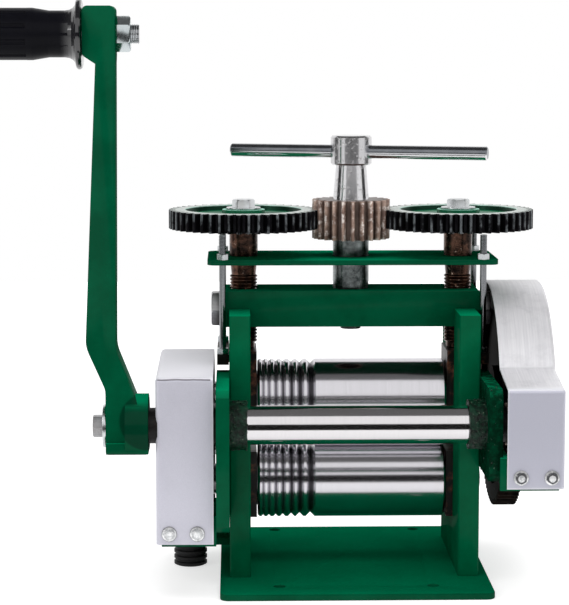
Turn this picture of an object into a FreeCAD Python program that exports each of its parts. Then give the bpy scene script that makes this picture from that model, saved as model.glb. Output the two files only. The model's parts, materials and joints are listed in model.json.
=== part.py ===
"""Jewellers rolling mill, hand cranked, with screw-down upper roll.

Millimetres, +Z up.  The origin is the centre of the base bolt pattern on the underside of
the base plate.  X runs along the rolls, the crank is at -X, and metal is fed in from -Y.
"""
import FreeCAD
import Part
import math
import os

# ---------------------------------------------------------------- driving dimensions
# base and frame
base_length, base_front_y, base_back_y, base_thick, base_corner_r = 154.0, -88.0, 78.0, 4.0, 5.0
base_hole_inset_x, base_hole_inset_y, base_hole_r = 33.5, 8.0, 3.3
frame_gap = 119.0                 # between the inner faces of the two side frames
frame_thick = 12.0
frame_top_z = 155.2
window_width = 36.0               # slot that guides the bearing blocks
post_depth = 32.0
sill_top_z = 32.0                 # top of the cross block below the lower bearing blocks
edge_break = 0.8

# rolls
roll_dia, roll_length, roll_chamfer = 45.0, 110.0, 1.2
lower_axis_z = 51.5
roll_gap = 4.3                    # opening between the rolls at rest
journal_r, shaft_end_r, stud_end_r = 11.0, 9.0, 6.0
groove_centres = (-51.8, -48.4, -44.4, -40.2, -35.2, -30.2, -23.9)
groove_widths = (2.2, 2.4, 2.8, 3.2, 3.8, 4.4, 5.2)
groove_depth_share = 0.5          # depth of a V groove as a share of its width

# bearing blocks
block_thick = 15.0
block_play = 0.15                 # each side, in the window
block_inner_gap = 0.6             # between a roll's end and the face of its block
bush_wall = 3.0
running_gap = 0.05                # radial, shaft in bush
face_gap = 0.3                    # between faces that move past each other
lower_block_height, upper_block_height = 39.0, 48.6
upper_block_above_axis = 29.4
ear_past_rod_x, ear_past_rod_y, ear_thick = 3.3, 4.5, 6.0

# thrust washers between rolls and blocks
washer_outer_r, washer_thick = 15.5, 0.3

# crankshaft and its lugs
crank_axis_y, crank_axis_z = -73.5, 97.0
crankshaft_r, crank_journal_r = 11.0, 10.0
lug_thick, lug_front_y, lug_back_y = 7.4, -95.0, -18.6
right_lug_low_z, left_lug_low_z, lug_high_z, lug_chamfer = 68.0, 40.0, 119.7, 4.0
lug_bush_flange_r, lug_bush_flange = 13.8, 9.8
lug_screw_r, lug_screw_head_r, lug_screw_head, lug_screw_inset = 3.0, 5.0, 1.0, 10.0
lug_screw_depth = 8.4               # of each screw in its side frame

# roll drive, module and teeth
drive_module, drive_gear_teeth, drive_pinion_teeth = 1.5, 84, 14
drive_gear_width, drive_pinion_width = 12.0, 14.0
drive_gear_gap = 2.0              # from the heads of the bridge's end bolts to the drive gear
drive_rim_r, drive_hub_r, drive_recess, pinion_bore_r, pinion_stud_r = 52.0, 18.0, 3.0, 6.0, 4.0
drive_pressure, coupling_pressure, adjust_pressure = 20.0, 25.0, 20.0
nut_share = 3.1                   # across flats of an end nut, in bore radii
coupling_module, coupling_teeth, coupling_width = 3.75, 12, 14.0
coupling_tip_r = 25.4
coupling_x = -84.0                # inner face of the coupling gears
key_side, key_embed = 5.0, 2.5
tooth_thinning = 0.16
coupling_thinning = 0.45

# bridge, pressure screws and adjusting gears
bridge_length, bridge_height, bridge_top_z = 149.0, 21.0, 165.7
screw_x, screw_r, screw_pitch = 63.0, 8.0, 2.0
screw_core_r, screw_neck_r, screw_tip_r = 7.1, 6.0, 6.5
sleeve_r = 8.3
adjust_module, screw_gear_teeth, center_pinion_teeth = 1.75, 48, 24
gear_above_plate, screw_gear_width = 16.3, 11.0
gear_rim_inner_r, gear_recess, gear_hub_r = 34.0, 3.0, 12.5
pinion_below_gear, center_pinion_width = 6.0, 22.8
gear_bolt_across, gear_bolt_head, gear_bolt_r, gear_bolt_depth = 11.5, 4.6, 3.0, 14.0
gear_washer_r, gear_washer_thick = 10.0, 1.2
end_bolt_across, end_bolt_head, end_bolt_r, end_bolt_z = 19.0, 7.5, 6.0, 153.6
end_bolt_depth = 8.0

# lifting plate, rods and nuts
plate_past_rod_x, plate_past_rod_y, plate_thick, plate_above_bridge = 8.7, 3.5, 3.0, 16.0
plate_corner_r = 5.0
rod_x, rod_front_y, rod_back_y, rod_r = 75.3, -24.5, 26.5, 1.9
rod_above_plate = 14.2
rod_nut_across, rod_nut_height = 6.4, 3.2

# adjusting handle
handle_shaft_r, handle_stub_r, handle_neck_low_r, handle_neck_high_r = 10.5, 6.0, 10.5, 8.8
handle_neck_top_z, handle_head_r, handle_head_top_z = 238.0, 12.0, 255.0
handle_socket_depth = 14.0
tee_bar_r, tee_bar_length, tee_bar_z, tee_bar_turn = 4.0, 154.0, 245.6, -17.0
tee_bar_shift = 3.8                # towards the right end, along the bar
circlip_r, circlip_thick = 8.6, 1.2

# crank arm and its handle
arm_hub_outer_x, arm_hub_inner_x, arm_hub_r, arm_width = -139.7, -116.3, 18.0, 23.0
arm_below_axis = 14.2             # from the crankshaft's axis to the flat underside of the hub
arm_boss_x = -129.0               # where the round boss of the hub starts
arm_pad_high, arm_pad_half, arm_pad_round = 6.5, 14.0, 2.0
crank_end_r, crank_end_gap = 8.0, 0.7
arm_low_left_x, arm_low_right_x, arm_low_left_z, arm_low_right_z = -150.3, -134.0, 143.0, 141.0
arm_heel_z, arm_toe_x, arm_toe_z = 119.0, -118.2, 101.0
arm_bend_r, arm_heel_r = 18.0, 10.0
arm_top_left_x, arm_top_right_x, arm_top_z = -143.4, -132.9, 297.4
boss_left_x, boss_right_x, boss_above_axis, boss_below_axis = -150.4, -132.7, 15.2, 11.5
handle_axis_z = 313.5
boss_corner = 3.0
crank_bolt_across, crank_bolt_head, crank_bolt_r, crank_bolt_depth = 11.5, 5.6, 3.0, 14.0
crank_washer_r, crank_washer_thick = 12.0, 2.0
grip_start_x, grip_length, grip_r, grip_waist_r, grip_flange_r = -150.8, 116.0, 14.2, 12.7, 19.3
grip_rim_r, grip_flutes, flute_r, flute_depth = 1.7, 10, 1.7, 0.9
grip_cap_length = 8.0
grip_body_start, grip_waist_start, grip_waist_end = 27.0, 18.0, 9.5      # from the arm
grip_flute_start, grip_flute_end_gap, grip_end_round = 30.0, 6.0, 3.0
spindle_r, spindle_head_r, spindle_head = 5.0, 8.5, 5.0
spindle_nut_across, spindle_nut_height, spindle_end = 17.0, 8.2, 4.6

# sheet covers
cover_wall, cover_bend_r = 1.0, 2.5
cover_inner_x, left_cover_outer_x = 80.4, 112.2
right_cover_past_gear = 16.2      # from the drive gear's outer face to the cover's
left_front_y, left_back_y, left_low_z, left_front_top_z = -87.5, 32.0, 32.3, 126.1
left_top_z, left_top_start_y, left_top_end_y, left_back_top_z = 128.2, -9.0, 9.0, 112.0
right_front_y, right_low_z, right_front_top_z = -103.4, 66.0, 121.3
right_fold_y, right_drum_r, right_drum_z = -65.0, 71.0, 98.5
cover_hole_r = 14.0
cover_washer_r, cover_washer_thick, cover_nut_across, cover_nut_high = 4.2, 0.8, 5.5, 2.0
cover_screw_r, cover_screw_shoulder = 2.0, 0.6
left_screw_x, left_screw_z = (-105.0, -89.5), 38.4
right_screw_x, right_screw_z = (88.0, 105.0), 72.4
bracket_thick, bracket_web_back_y, bracket_riser_y, bracket_overlap = 3.0, -65.0, -83.0, 14.0
bracket_outer_gap = 3.0           # from the end of a bracket to the outer face of its cover
left_bracket_low_z, left_bracket_high_z = 31.0, 47.6
right_bracket_low_z, right_bracket_high_z = 65.0, 83.0
right_bracket_inner_x = 76.8

# foot under the left cover
foot_x, foot_r, foot_height, foot_ribs = -95.0, 9.8, 14.0, 4
foot_bracket_thick, foot_bracket_width, foot_stud_r = 4.0, 24.0, 4.0
foot_nut_across, foot_nut_high = 13.0, 3.5

# ---------------------------------------------------------------- values that follow
X_AXIS, Y_AXIS, Z_AXIS = (FreeCAD.Vector(1, 0, 0), FreeCAD.Vector(0, 1, 0), FreeCAD.Vector(0, 0, 1))
base_hole_x = base_length - 2 * base_hole_inset_x
base_hole_y = 2 * (base_back_y - base_hole_inset_y)
frame_inner_x = frame_gap / 2
frame_outer_x = frame_inner_x + frame_thick
window_half = window_width / 2
post_front_y = window_half + post_depth
upper_axis_z = lower_axis_z + roll_dia + roll_gap
block_inner_x = roll_length / 2 + block_inner_gap
block_outer_x = block_inner_x + block_thick
block_half_y = window_half - block_play
lower_block_z = sill_top_z
upper_block_top_z = upper_axis_z + upper_block_above_axis
upper_block_z = upper_block_top_z - upper_block_height
bridge_bottom_z = bridge_top_z - bridge_height
lug_outer_x = frame_outer_x + lug_thick
bush_outer_r = journal_r + running_gap + bush_wall
plate_bottom_z = bridge_top_z + plate_above_bridge
plate_top_z = plate_bottom_z + plate_thick
screw_gear_z = plate_top_z + gear_above_plate
center_pinion_z = screw_gear_z - pinion_below_gear
screw_gear_top_z = screw_gear_z + screw_gear_width
drive_gear_x = bridge_length / 2 + end_bolt_head + drive_gear_gap
drive_gear_end_x = drive_gear_x + drive_gear_width
right_cover_outer_x = drive_gear_end_x + right_cover_past_gear
drive_pinion_x = drive_gear_x - (drive_pinion_width - drive_gear_width) / 2
coupling_end_x = coupling_x - coupling_width
drive_line_angle = math.degrees(math.atan2(crank_axis_z - upper_axis_z, crank_axis_y))

nodes = {}


# ---------------------------------------------------------------- small builders
def vec(x, y, z):
    return FreeCAD.Vector(x, y, z)


def box(x0, x1, y0, y1, z0, z1):
    """A block between two corners, given in any order."""
    low = vec(min(x0, x1), min(y0, y1), min(z0, z1))
    return Part.makeBox(abs(x1 - x0), abs(y1 - y0), abs(z1 - z0), low)


def rod_along(axis, start, length, radius):
    """A round bar from a start point along an axis; a negative length runs backwards."""
    direction = axis if length > 0 else axis * -1
    return Part.makeCylinder(radius, abs(length), start, direction)


def ring_along(axis, start, length, outer_r, inner_r):
    return rod_along(axis, start, length, outer_r).cut(rod_along(axis, start, length, inner_r))


def turned(axis, origin, stations):
    """A solid of revolution from (distance, radius) stations along an axis."""
    points = [vec(r, 0, d) for d, r in stations]
    points = [vec(0, 0, stations[0][0])] + points + [vec(0, 0, stations[-1][0])]
    clean = [points[0]]
    for point in points[1:]:
        if point.distanceToPoint(clean[-1]) > 1e-6:
            clean.append(point)
    face = Part.Face(Part.makePolygon(clean + [clean[0]]))
    solid = face.revolve(vec(0, 0, 0), Z_AXIS, 360)
    return place(solid, axis, origin)


def place(shape, axis, origin):
    """Turn a shape built along +Z to run along an axis, then move it to its origin."""
    if axis.dot(X_AXIS) > 0.5:
        rotation = FreeCAD.Rotation(vec(1, 1, 1), 120)
    elif axis.dot(Y_AXIS) > 0.5:
        rotation = FreeCAD.Rotation(vec(1, 1, 1), -120)
    else:
        rotation = FreeCAD.Rotation(Z_AXIS, 0)
    shape = shape.copy()
    shape.Placement = FreeCAD.Placement(origin, rotation).multiply(shape.Placement)
    return shape


def hexagon(axis, start, length, across):
    """A hexagonal prism with its across-flats size, corners broken on the far end."""
    corner_r = across / math.sqrt(3)
    corners = [vec(corner_r * math.cos(math.radians(60 * i)),
                   corner_r * math.sin(math.radians(60 * i)), 0) for i in range(7)]
    prism = Part.Face(Part.makePolygon(corners)).extrude(Z_AXIS * abs(length))
    crown = 0.12 * across
    cone = Part.makeCone(corner_r + abs(length) - crown * 0.5, corner_r - crown * 0.5,
                         abs(length))
    shape = prism.common(cone)
    if length < 0:
        shape = shape.mirror(vec(0, 0, 0), Z_AXIS)
    return place(shape, axis, start)


def prism_along_x(points, x0, x1):
    """A prism from an outline in Y and Z, between two X planes."""
    outline = [vec(x0, y, z) for y, z in points]
    face = Part.Face(Part.makePolygon(outline + [outline[0]]))
    return face.extrude(X_AXIS * (x1 - x0))


def group(shapes):
    return Part.makeCompound(shapes)


def mirrored_pair(shape):
    """A piece at +X and the same piece mirrored to -X."""
    return shape, shape.mirror(vec(0, 0, 0), X_AXIS)


def polar(radius, angle):
    return vec(radius * math.cos(angle), radius * math.sin(angle), 0)


def gear_blank(module, teeth, tip_r, pressure, thinning, first_tooth, width):
    """A spur gear about +Z from z = 0, with involute flanks drawn as arcs."""
    pitch_r = module * teeth / 2
    base_r = pitch_r * math.cos(math.radians(pressure))
    root_r = pitch_r - 1.25 * module

    def involute(radius):
        angle = math.acos(min(1.0, base_r / radius))
        return math.tan(angle) - angle

    pitch_half = math.pi / (2 * teeth) - thinning / (2 * pitch_r)
    start_r = max(base_r, root_r)
    middle_r = (start_r + tip_r) / 2
    zero = pitch_half + involute(pitch_r)
    half = {r: zero - involute(r) for r in (start_r, middle_r, tip_r)}
    edges = []
    step = 2 * math.pi / teeth
    for index in range(teeth):
        centre = math.radians(first_tooth) + index * step

        def flank(radius, side):
            return polar(radius, centre + side * half[radius])

        if root_r < start_r:
            edges.append(Part.makeLine(polar(root_r, centre - half[start_r]), flank(start_r, -1)))
        edges.append(Part.Arc(flank(start_r, -1), flank(middle_r, -1), flank(tip_r, -1)).toShape())
        edges.append(Part.Arc(flank(tip_r, -1), polar(tip_r, centre), flank(tip_r, 1)).toShape())
        edges.append(Part.Arc(flank(tip_r, 1), flank(middle_r, 1), flank(start_r, 1)).toShape())
        if root_r < start_r:
            edges.append(Part.makeLine(flank(start_r, 1), polar(root_r, centre + half[start_r])))
        root_from = centre + half[start_r]
        root_to = centre + step - half[start_r]
        edges.append(Part.Arc(polar(root_r, root_from), polar(root_r, (root_from + root_to) / 2),
                              polar(root_r, root_to)).toShape())
    return Part.Face(Part.Wire(edges)).extrude(Z_AXIS * width)


def key_in(x0, x1, axis_z, axis_y, shaft_r):
    """A square key on top of a shaft that runs along X."""
    seat = axis_z + shaft_r - key_embed
    return box(x0, x1, axis_y - key_side / 2, axis_y + key_side / 2, seat, seat + key_side)


# ---------------------------------------------------------------- base and side frames
def base_plate():
    plate = box(-base_length / 2, base_length / 2, base_front_y, base_back_y, 0, base_thick)
    upright = [e for e in plate.Edges if abs(e.Vertexes[0].Z - e.Vertexes[-1].Z) > base_thick / 2]
    plate = plate.makeFillet(base_corner_r, upright)
    for sx in (-1, 1):
        for sy in (-1, 1):
            hole = rod_along(Z_AXIS, vec(sx * base_hole_x / 2, sy * base_hole_y / 2, 0),
                             base_thick, base_hole_r)
            plate = plate.cut(hole)
    return plate


def side_frame():
    """Two posts and the sill that joins them below the bearing blocks, on the +X side."""
    outline = [(-post_front_y, base_thick), (post_front_y, base_thick),
               (post_front_y, frame_top_z), (window_half, frame_top_z),
               (window_half, sill_top_z), (-window_half, sill_top_z),
               (-window_half, frame_top_z), (-post_front_y, frame_top_z)]
    frame = prism_along_x(outline, frame_inner_x, frame_outer_x)
    outer_corners = [e for e in frame.Edges
                     if abs(abs(e.CenterOfMass.y) - post_front_y) < 1e-6
                     and abs(e.Vertexes[0].Z - e.Vertexes[-1].Z) > post_depth]
    return frame.makeChamfer(edge_break, outer_corners)


def lug_plate(low_z):
    """The plate outside a side frame that carries one end of the crankshaft, +X side."""
    c = lug_chamfer
    outline = [(lug_front_y + c, low_z), (lug_back_y, low_z), (lug_back_y, lug_high_z),
               (lug_front_y + c, lug_high_z), (lug_front_y, lug_high_z - c),
               (lug_front_y, low_z + c)]
    plate = prism_along_x(outline, frame_outer_x, lug_outer_x)
    bore_r = crank_journal_r + running_gap + bush_wall / 2
    plate = plate.cut(rod_along(X_AXIS, vec(frame_outer_x, crank_axis_y, crank_axis_z),
                                lug_thick, bore_r))
    for screw in lug_screw_shanks():
        plate = plate.cut(screw)
    return plate


def lug_screw_places():
    y = -(window_half + post_depth / 2)
    return [(y, right_lug_low_z + lug_screw_inset), (y, lug_high_z - lug_screw_inset)]


def lug_screw_shanks():
    return [rod_along(X_AXIS, vec(lug_outer_x, y, z), -(lug_thick + lug_screw_depth), lug_screw_r)
            for y, z in lug_screw_places()]


def lug_bush():
    """Flanged bush in a lug plate, flange on the inner side, +X side."""
    bore_r = crank_journal_r + running_gap
    start = vec(frame_outer_x, crank_axis_y, crank_axis_z)
    sleeve = ring_along(X_AXIS, start, lug_thick, bore_r + bush_wall / 2, bore_r)
    flange = ring_along(X_AXIS, start, -lug_bush_flange, lug_bush_flange_r, bore_r)
    return sleeve.fuse(flange).removeSplitter()


# ---------------------------------------------------------------- bearing blocks
def bearing_bore(axis_z):
    return rod_along(X_AXIS, vec(block_inner_x, 0, axis_z), block_thick,
                     bush_outer_r + running_gap)


def lower_block():
    block = box(block_inner_x, block_outer_x, -block_half_y, block_half_y,
                lower_block_z, lower_block_z + lower_block_height)
    return block.cut(bearing_bore(lower_axis_z))


def upper_block():
    """Sliding block with the ear that the lifting rods hang it from."""
    block = box(block_inner_x, block_outer_x, -block_half_y, block_half_y,
                upper_block_z, upper_block_top_z)
    ear = box(frame_outer_x + face_gap, rod_x + ear_past_rod_x, rod_front_y - ear_past_rod_y,
              rod_back_y + ear_past_rod_y, upper_block_top_z - ear_thick, upper_block_top_z)
    neck = box(block_outer_x, frame_outer_x + face_gap, -block_half_y, block_half_y,
               upper_block_top_z - ear_thick, upper_block_top_z)
    block = block.fuse([ear, neck]).removeSplitter()
    block = block.cut(bearing_bore(upper_axis_z))
    for y in (rod_front_y, rod_back_y):
        block = block.cut(rod_along(Z_AXIS, vec(rod_x, y, upper_block_top_z - ear_thick),
                                    ear_thick, rod_r))
    return block


def roll_bush(axis_z):
    return ring_along(X_AXIS, vec(block_inner_x, 0, axis_z), block_thick, bush_outer_r,
                      journal_r + running_gap)


def thrust_washer(axis_z):
    """Thin washer between the end of a roll and its bearing block, +X side."""
    start = roll_length / 2 + (block_inner_gap - washer_thick) / 2
    return ring_along(X_AXIS, vec(start, 0, axis_z), washer_thick, washer_outer_r,
                      journal_r + running_gap)


# ---------------------------------------------------------------- rolls
def roll_stations(left_end, right_end):
    """(x, radius) stations of a roll from its left stud to its right end."""
    half, body_r = roll_length / 2, roll_dia / 2
    stations = [(left_end, stud_end_r), (coupling_end_x, stud_end_r),
                (coupling_end_x, shaft_end_r), (-block_outer_x - face_gap, shaft_end_r),
                (-block_outer_x - face_gap, journal_r), (-half, journal_r),
                (-half, body_r - roll_chamfer), (-half + roll_chamfer, body_r)]
    for centre, width in zip(groove_centres, groove_widths):
        depth = width * groove_depth_share
        stations += [(centre - width / 2, body_r), (centre, body_r - depth),
                     (centre + width / 2, body_r)]
    stations += [(half - roll_chamfer, body_r), (half, body_r - roll_chamfer), (half, journal_r),
                 (block_outer_x + face_gap, journal_r)]
    return stations + right_end


def upper_roll():
    left_end = coupling_end_x - face_gap - stud_end_r
    right = [(block_outer_x + face_gap, shaft_end_r), (drive_gear_end_x, shaft_end_r),
             (drive_gear_end_x, stud_end_r), (drive_gear_end_x + stud_end_r + 1, stud_end_r)]
    roll = turned(X_AXIS, vec(0, 0, upper_axis_z), roll_stations(left_end, right))
    roll = roll.cut(key_in(coupling_end_x, coupling_x, upper_axis_z, 0, shaft_end_r))
    return roll.cut(key_in(drive_gear_x, drive_gear_end_x, upper_axis_z, 0, shaft_end_r))


def lower_roll():
    left_end = coupling_end_x - face_gap - stud_end_r
    right = [(block_outer_x + face_gap, stud_end_r),
             (block_outer_x + face_gap + stud_end_r, stud_end_r)]
    roll = turned(X_AXIS, vec(0, 0, lower_axis_z), roll_stations(left_end, right))
    return roll.cut(key_in(coupling_end_x, coupling_x, lower_axis_z, 0, shaft_end_r))


def drive_gear():
    blank = gear_blank(drive_module, drive_gear_teeth,
                       drive_module * (drive_gear_teeth / 2 + 1), drive_pressure, tooth_thinning,
                       drive_line_angle, drive_gear_width)
    blank = place(blank, X_AXIS, vec(drive_gear_x, 0, upper_axis_z))
    blank = blank.cut(rod_along(X_AXIS, vec(drive_gear_x, 0, upper_axis_z), drive_gear_width,
                                shaft_end_r))
    for x, length in ((drive_gear_x, drive_recess), (drive_gear_end_x, -drive_recess)):
        blank = blank.cut(ring_along(X_AXIS, vec(x, 0, upper_axis_z), length, drive_rim_r,
                                     drive_hub_r))
    return blank.cut(key_in(drive_gear_x, drive_gear_end_x, upper_axis_z, 0, shaft_end_r))


def drive_pinion():
    first = drive_line_angle + 180 + 180 / drive_pinion_teeth
    blank = gear_blank(drive_module, drive_pinion_teeth,
                       drive_module * (drive_pinion_teeth / 2 + 1), drive_pressure,
                       tooth_thinning, first, drive_pinion_width)
    start = vec(drive_pinion_x, crank_axis_y, crank_axis_z)
    blank = place(blank, X_AXIS, start)
    return blank.cut(rod_along(X_AXIS, start, drive_pinion_width, pinion_bore_r))


def coupling_gear(axis_z, first_tooth):
    blank = gear_blank(coupling_module, coupling_teeth, coupling_tip_r, coupling_pressure,
                       coupling_thinning, first_tooth, coupling_width)
    start = vec(coupling_end_x, 0, axis_z)
    blank = place(blank, X_AXIS, start)
    blank = blank.cut(rod_along(X_AXIS, start, coupling_width, shaft_end_r))
    return blank.cut(key_in(coupling_end_x, coupling_x, axis_z, 0, shaft_end_r))


def end_nut(x, axis_y, axis_z, length, bore_r):
    nut = hexagon(X_AXIS, vec(x, axis_y, axis_z), length, bore_r * nut_share)
    return nut.cut(rod_along(X_AXIS, vec(x, axis_y, axis_z), length, bore_r))


# ---------------------------------------------------------------- bridge and adjusting gear
def bridge():
    half = bridge_length / 2
    block = box(-half, half, -window_half, window_half, bridge_bottom_z, bridge_top_z)
    ends = [e for e in block.Edges if abs(e.Vertexes[0].Y - e.Vertexes[-1].Y) > window_half
            and e.CenterOfMass.z > bridge_bottom_z + 1]
    block = block.makeChamfer(edge_break, ends)
    for sx in (-1, 1):
        block = block.cut(rod_along(Z_AXIS, vec(sx * screw_x, 0, bridge_bottom_z), bridge_height,
                                    screw_r + running_gap))
        block = block.cut(rod_along(X_AXIS, vec(sx * half, 0, end_bolt_z), -sx * end_bolt_depth / 4,
                                    end_bolt_r))
    block = block.cut(rod_along(Z_AXIS, vec(0, 0, bridge_top_z), -handle_socket_depth,
                                handle_shaft_r + running_gap))
    return block.cut(rod_along(Z_AXIS, vec(0, 0, bridge_bottom_z), bridge_height,
                               handle_stub_r + running_gap))


def end_bolt():
    """Bolt in the end of the bridge, head outwards, +X side."""
    half = bridge_length / 2
    head = hexagon(X_AXIS, vec(half, 0, end_bolt_z), end_bolt_head, end_bolt_across)
    shank = rod_along(X_AXIS, vec(half, 0, end_bolt_z), -end_bolt_depth / 4, end_bolt_r)
    return head.fuse(shank).removeSplitter()


def thread_stations(z_low, z_high, pitch):
    """Sawtooth stations that stand for the screw thread between two heights."""
    turns = int((z_high - z_low) / pitch)
    stations = []
    for turn in range(turns):
        z = z_low + turn * pitch
        stations += [(z, screw_core_r), (z + pitch * 0.4, screw_r), (z + pitch * 0.6, screw_r)]
    stations.append((z_low + turns * pitch, screw_core_r))
    return stations


def pressure_screw(x):
    tip_z = upper_block_top_z + 0.1
    thread_low = tip_z + 3.5
    thread_high = plate_bottom_z - face_gap - 6
    stations = [(tip_z, screw_tip_r - 0.6), (tip_z + 0.6, screw_tip_r), (thread_low, screw_tip_r)]
    stations += thread_stations(thread_low, thread_high, screw_pitch)
    shoulder_z = plate_bottom_z - face_gap
    stations += [(shoulder_z - 1.2, screw_r - 0.3), (shoulder_z, screw_r - 0.3),
                 (shoulder_z, screw_neck_r), (screw_gear_top_z, screw_neck_r)]
    screw = turned(Z_AXIS, vec(x, 0, 0), stations)
    return screw.cut(rod_along(Z_AXIS, vec(x, 0, screw_gear_top_z), -gear_bolt_depth,
                                gear_bolt_r))


def screw_sleeve(x):
    low = plate_top_z + face_gap
    return ring_along(Z_AXIS, vec(x, 0, low), screw_gear_z - low, sleeve_r, screw_neck_r)


def screw_gear(x):
    first = 180 / screw_gear_teeth
    blank = gear_blank(adjust_module, screw_gear_teeth, adjust_module * (screw_gear_teeth / 2 + 1),
                       adjust_pressure, tooth_thinning, first, screw_gear_width)
    blank = place(blank, Z_AXIS, vec(x, 0, screw_gear_z))
    recess = ring_along(Z_AXIS, vec(x, 0, screw_gear_top_z), -gear_recess, gear_rim_inner_r,
                        gear_hub_r)
    blank = blank.cut(recess)
    return blank.cut(rod_along(Z_AXIS, vec(x, 0, screw_gear_z), screw_gear_width, screw_neck_r))


def gear_bolt(x):
    start = vec(x, 0, screw_gear_top_z)
    head = hexagon(Z_AXIS, start + Z_AXIS * gear_washer_thick, gear_bolt_head, gear_bolt_across)
    washer = rod_along(Z_AXIS, start, gear_washer_thick, gear_washer_r)
    shank = rod_along(Z_AXIS, start, -gear_bolt_depth, gear_bolt_r)
    return head.fuse([washer, shank]).removeSplitter()


def lifting_plate():
    half = rod_x + plate_past_rod_x
    plate = box(-half, half, rod_front_y - plate_past_rod_y, rod_back_y + plate_past_rod_y,
                plate_bottom_z, plate_top_z)
    upright = [e for e in plate.Edges if abs(e.Vertexes[0].Z - e.Vertexes[-1].Z) > plate_thick / 2]
    plate = plate.makeFillet(plate_corner_r, upright)
    for sx in (-1, 1):
        plate = plate.cut(rod_along(Z_AXIS, vec(sx * screw_x, 0, plate_bottom_z), plate_thick,
                                    screw_neck_r + running_gap))
        for y in (rod_front_y, rod_back_y):
            plate = plate.cut(rod_along(Z_AXIS, vec(sx * rod_x, y, plate_bottom_z), plate_thick,
                                        rod_r))
    return plate.cut(rod_along(Z_AXIS, vec(0, 0, plate_bottom_z), plate_thick,
                               handle_shaft_r + face_gap * 2))


def lift_rod_places():
    return [(sx * rod_x, y) for sx in (-1, 1) for y in (rod_front_y, rod_back_y)]


def lift_rods():
    low = upper_block_top_z - ear_thick
    return group([rod_along(Z_AXIS, vec(x, y, low), plate_top_z + rod_above_plate - low, rod_r)
                  for x, y in lift_rod_places()])


def lift_nuts():
    """A nut above the plate and one above the ear on each rod, flats towards the covers."""
    nuts = []
    for x, y in lift_rod_places():
        for z, height in ((plate_top_z, rod_nut_height), (upper_block_top_z, rod_nut_height)):
            nut = hexagon(Z_AXIS, vec(x, y, z), height, rod_nut_across)
            nut.rotate(vec(x, y, z), Z_AXIS, 30)
            nuts.append(nut.cut(rod_along(Z_AXIS, vec(x, y, z), height, rod_r)))
    return group(nuts)


def center_pinion():
    blank = gear_blank(adjust_module, center_pinion_teeth,
                       adjust_module * (center_pinion_teeth / 2 + 1), adjust_pressure,
                       tooth_thinning, 0, center_pinion_width)
    blank = place(blank, Z_AXIS, vec(0, 0, center_pinion_z))
    return blank.cut(rod_along(Z_AXIS, vec(0, 0, center_pinion_z), center_pinion_width,
                               handle_shaft_r))


def handle_shaft():
    """Upright shaft that carries the centre pinion, with the head for the tee bar."""
    foot_z = bridge_top_z - handle_socket_depth + face_gap
    groove_z = bridge_bottom_z - face_gap - circlip_thick
    pinion_top = center_pinion_z + center_pinion_width
    stations = [(groove_z - 1.5, handle_stub_r), (groove_z, handle_stub_r),
                (groove_z, handle_stub_r - 0.8), (groove_z + circlip_thick, handle_stub_r - 0.8),
                (groove_z + circlip_thick, handle_stub_r), (foot_z, handle_stub_r),
                (foot_z, handle_shaft_r), (pinion_top, handle_neck_low_r),
                (handle_neck_top_z, handle_neck_high_r), (handle_neck_top_z, handle_head_r - 1),
                (handle_neck_top_z + 1, handle_head_r), (handle_head_top_z - 1, handle_head_r),
                (handle_head_top_z, handle_head_r - 1)]
    shaft = turned(Z_AXIS, vec(0, 0, 0), stations)
    return shaft.cut(tee_bar())


def tee_bar():
    left, right = tee_bar_shift - tee_bar_length / 2, tee_bar_shift + tee_bar_length / 2
    stations = [(left, tee_bar_r - edge_break), (left + edge_break, tee_bar_r),
                (right - edge_break, tee_bar_r), (right, tee_bar_r - edge_break)]
    bar = turned(X_AXIS, vec(0, 0, tee_bar_z), stations)
    bar.rotate(vec(0, 0, 0), Z_AXIS, tee_bar_turn)
    return bar


def handle_circlip():
    z = bridge_bottom_z - face_gap - circlip_thick
    clip = ring_along(Z_AXIS, vec(0, 0, z), circlip_thick, circlip_r, handle_stub_r - 0.8)
    return clip.cut(box(0, circlip_r, -1.5, 1.5, z, z + circlip_thick))


# ---------------------------------------------------------------- crank
def crankshaft():
    inner = frame_outer_x - lug_bush_flange - face_gap
    left_end = arm_hub_outer_x + crank_end_gap
    right_end = drive_pinion_x + drive_pinion_width
    stations = [(left_end, crank_end_r), (arm_hub_inner_x, crank_end_r),
                (arm_hub_inner_x, crank_journal_r), (-inner, crank_journal_r),
                (-inner, crankshaft_r), (inner, crankshaft_r), (inner, crank_journal_r),
                (drive_pinion_x, crank_journal_r), (drive_pinion_x, pinion_bore_r),
                (right_end, pinion_bore_r), (right_end, pinion_stud_r),
                (right_end + pinion_stud_r * 1.5, pinion_stud_r)]
    shaft = turned(X_AXIS, vec(0, crank_axis_y, crank_axis_z), stations)
    return shaft.cut(rod_along(X_AXIS, vec(left_end, crank_axis_y, crank_axis_z),
                               crank_bolt_depth, crank_bolt_r))


def rounded_outline(corners):
    """A closed wire in the XZ plane from (x, z, radius) corners; radius 0 is a sharp corner."""
    edges, joins = [], []
    for index, (x, z, radius) in enumerate(corners):
        here = vec(x, 0, z)
        back = (vec(corners[index - 1][0], 0, corners[index - 1][1]) - here).normalize()
        ahead_x, ahead_z = corners[(index + 1) % len(corners)][:2]
        ahead = (vec(ahead_x, 0, ahead_z) - here).normalize()
        if radius == 0:
            joins.append((here, here))
            continue
        half_angle = back.getAngle(ahead) / 2
        reach = radius / math.tan(half_angle)
        bisector = (back + ahead).normalize()
        middle = here + bisector * (radius / math.sin(half_angle) - radius)
        joins.append((here + back * reach, here + ahead * reach))
        edges.append(Part.Arc(joins[-1][0], middle, joins[-1][1]).toShape())
    for index, (start, _) in enumerate(joins):
        before = joins[index - 1][1]
        if before.distanceToPoint(start) > 1e-6:
            edges.append(Part.makeLine(before, start))
    return Part.Wire(Part.sortEdges(edges)[0])


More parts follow.
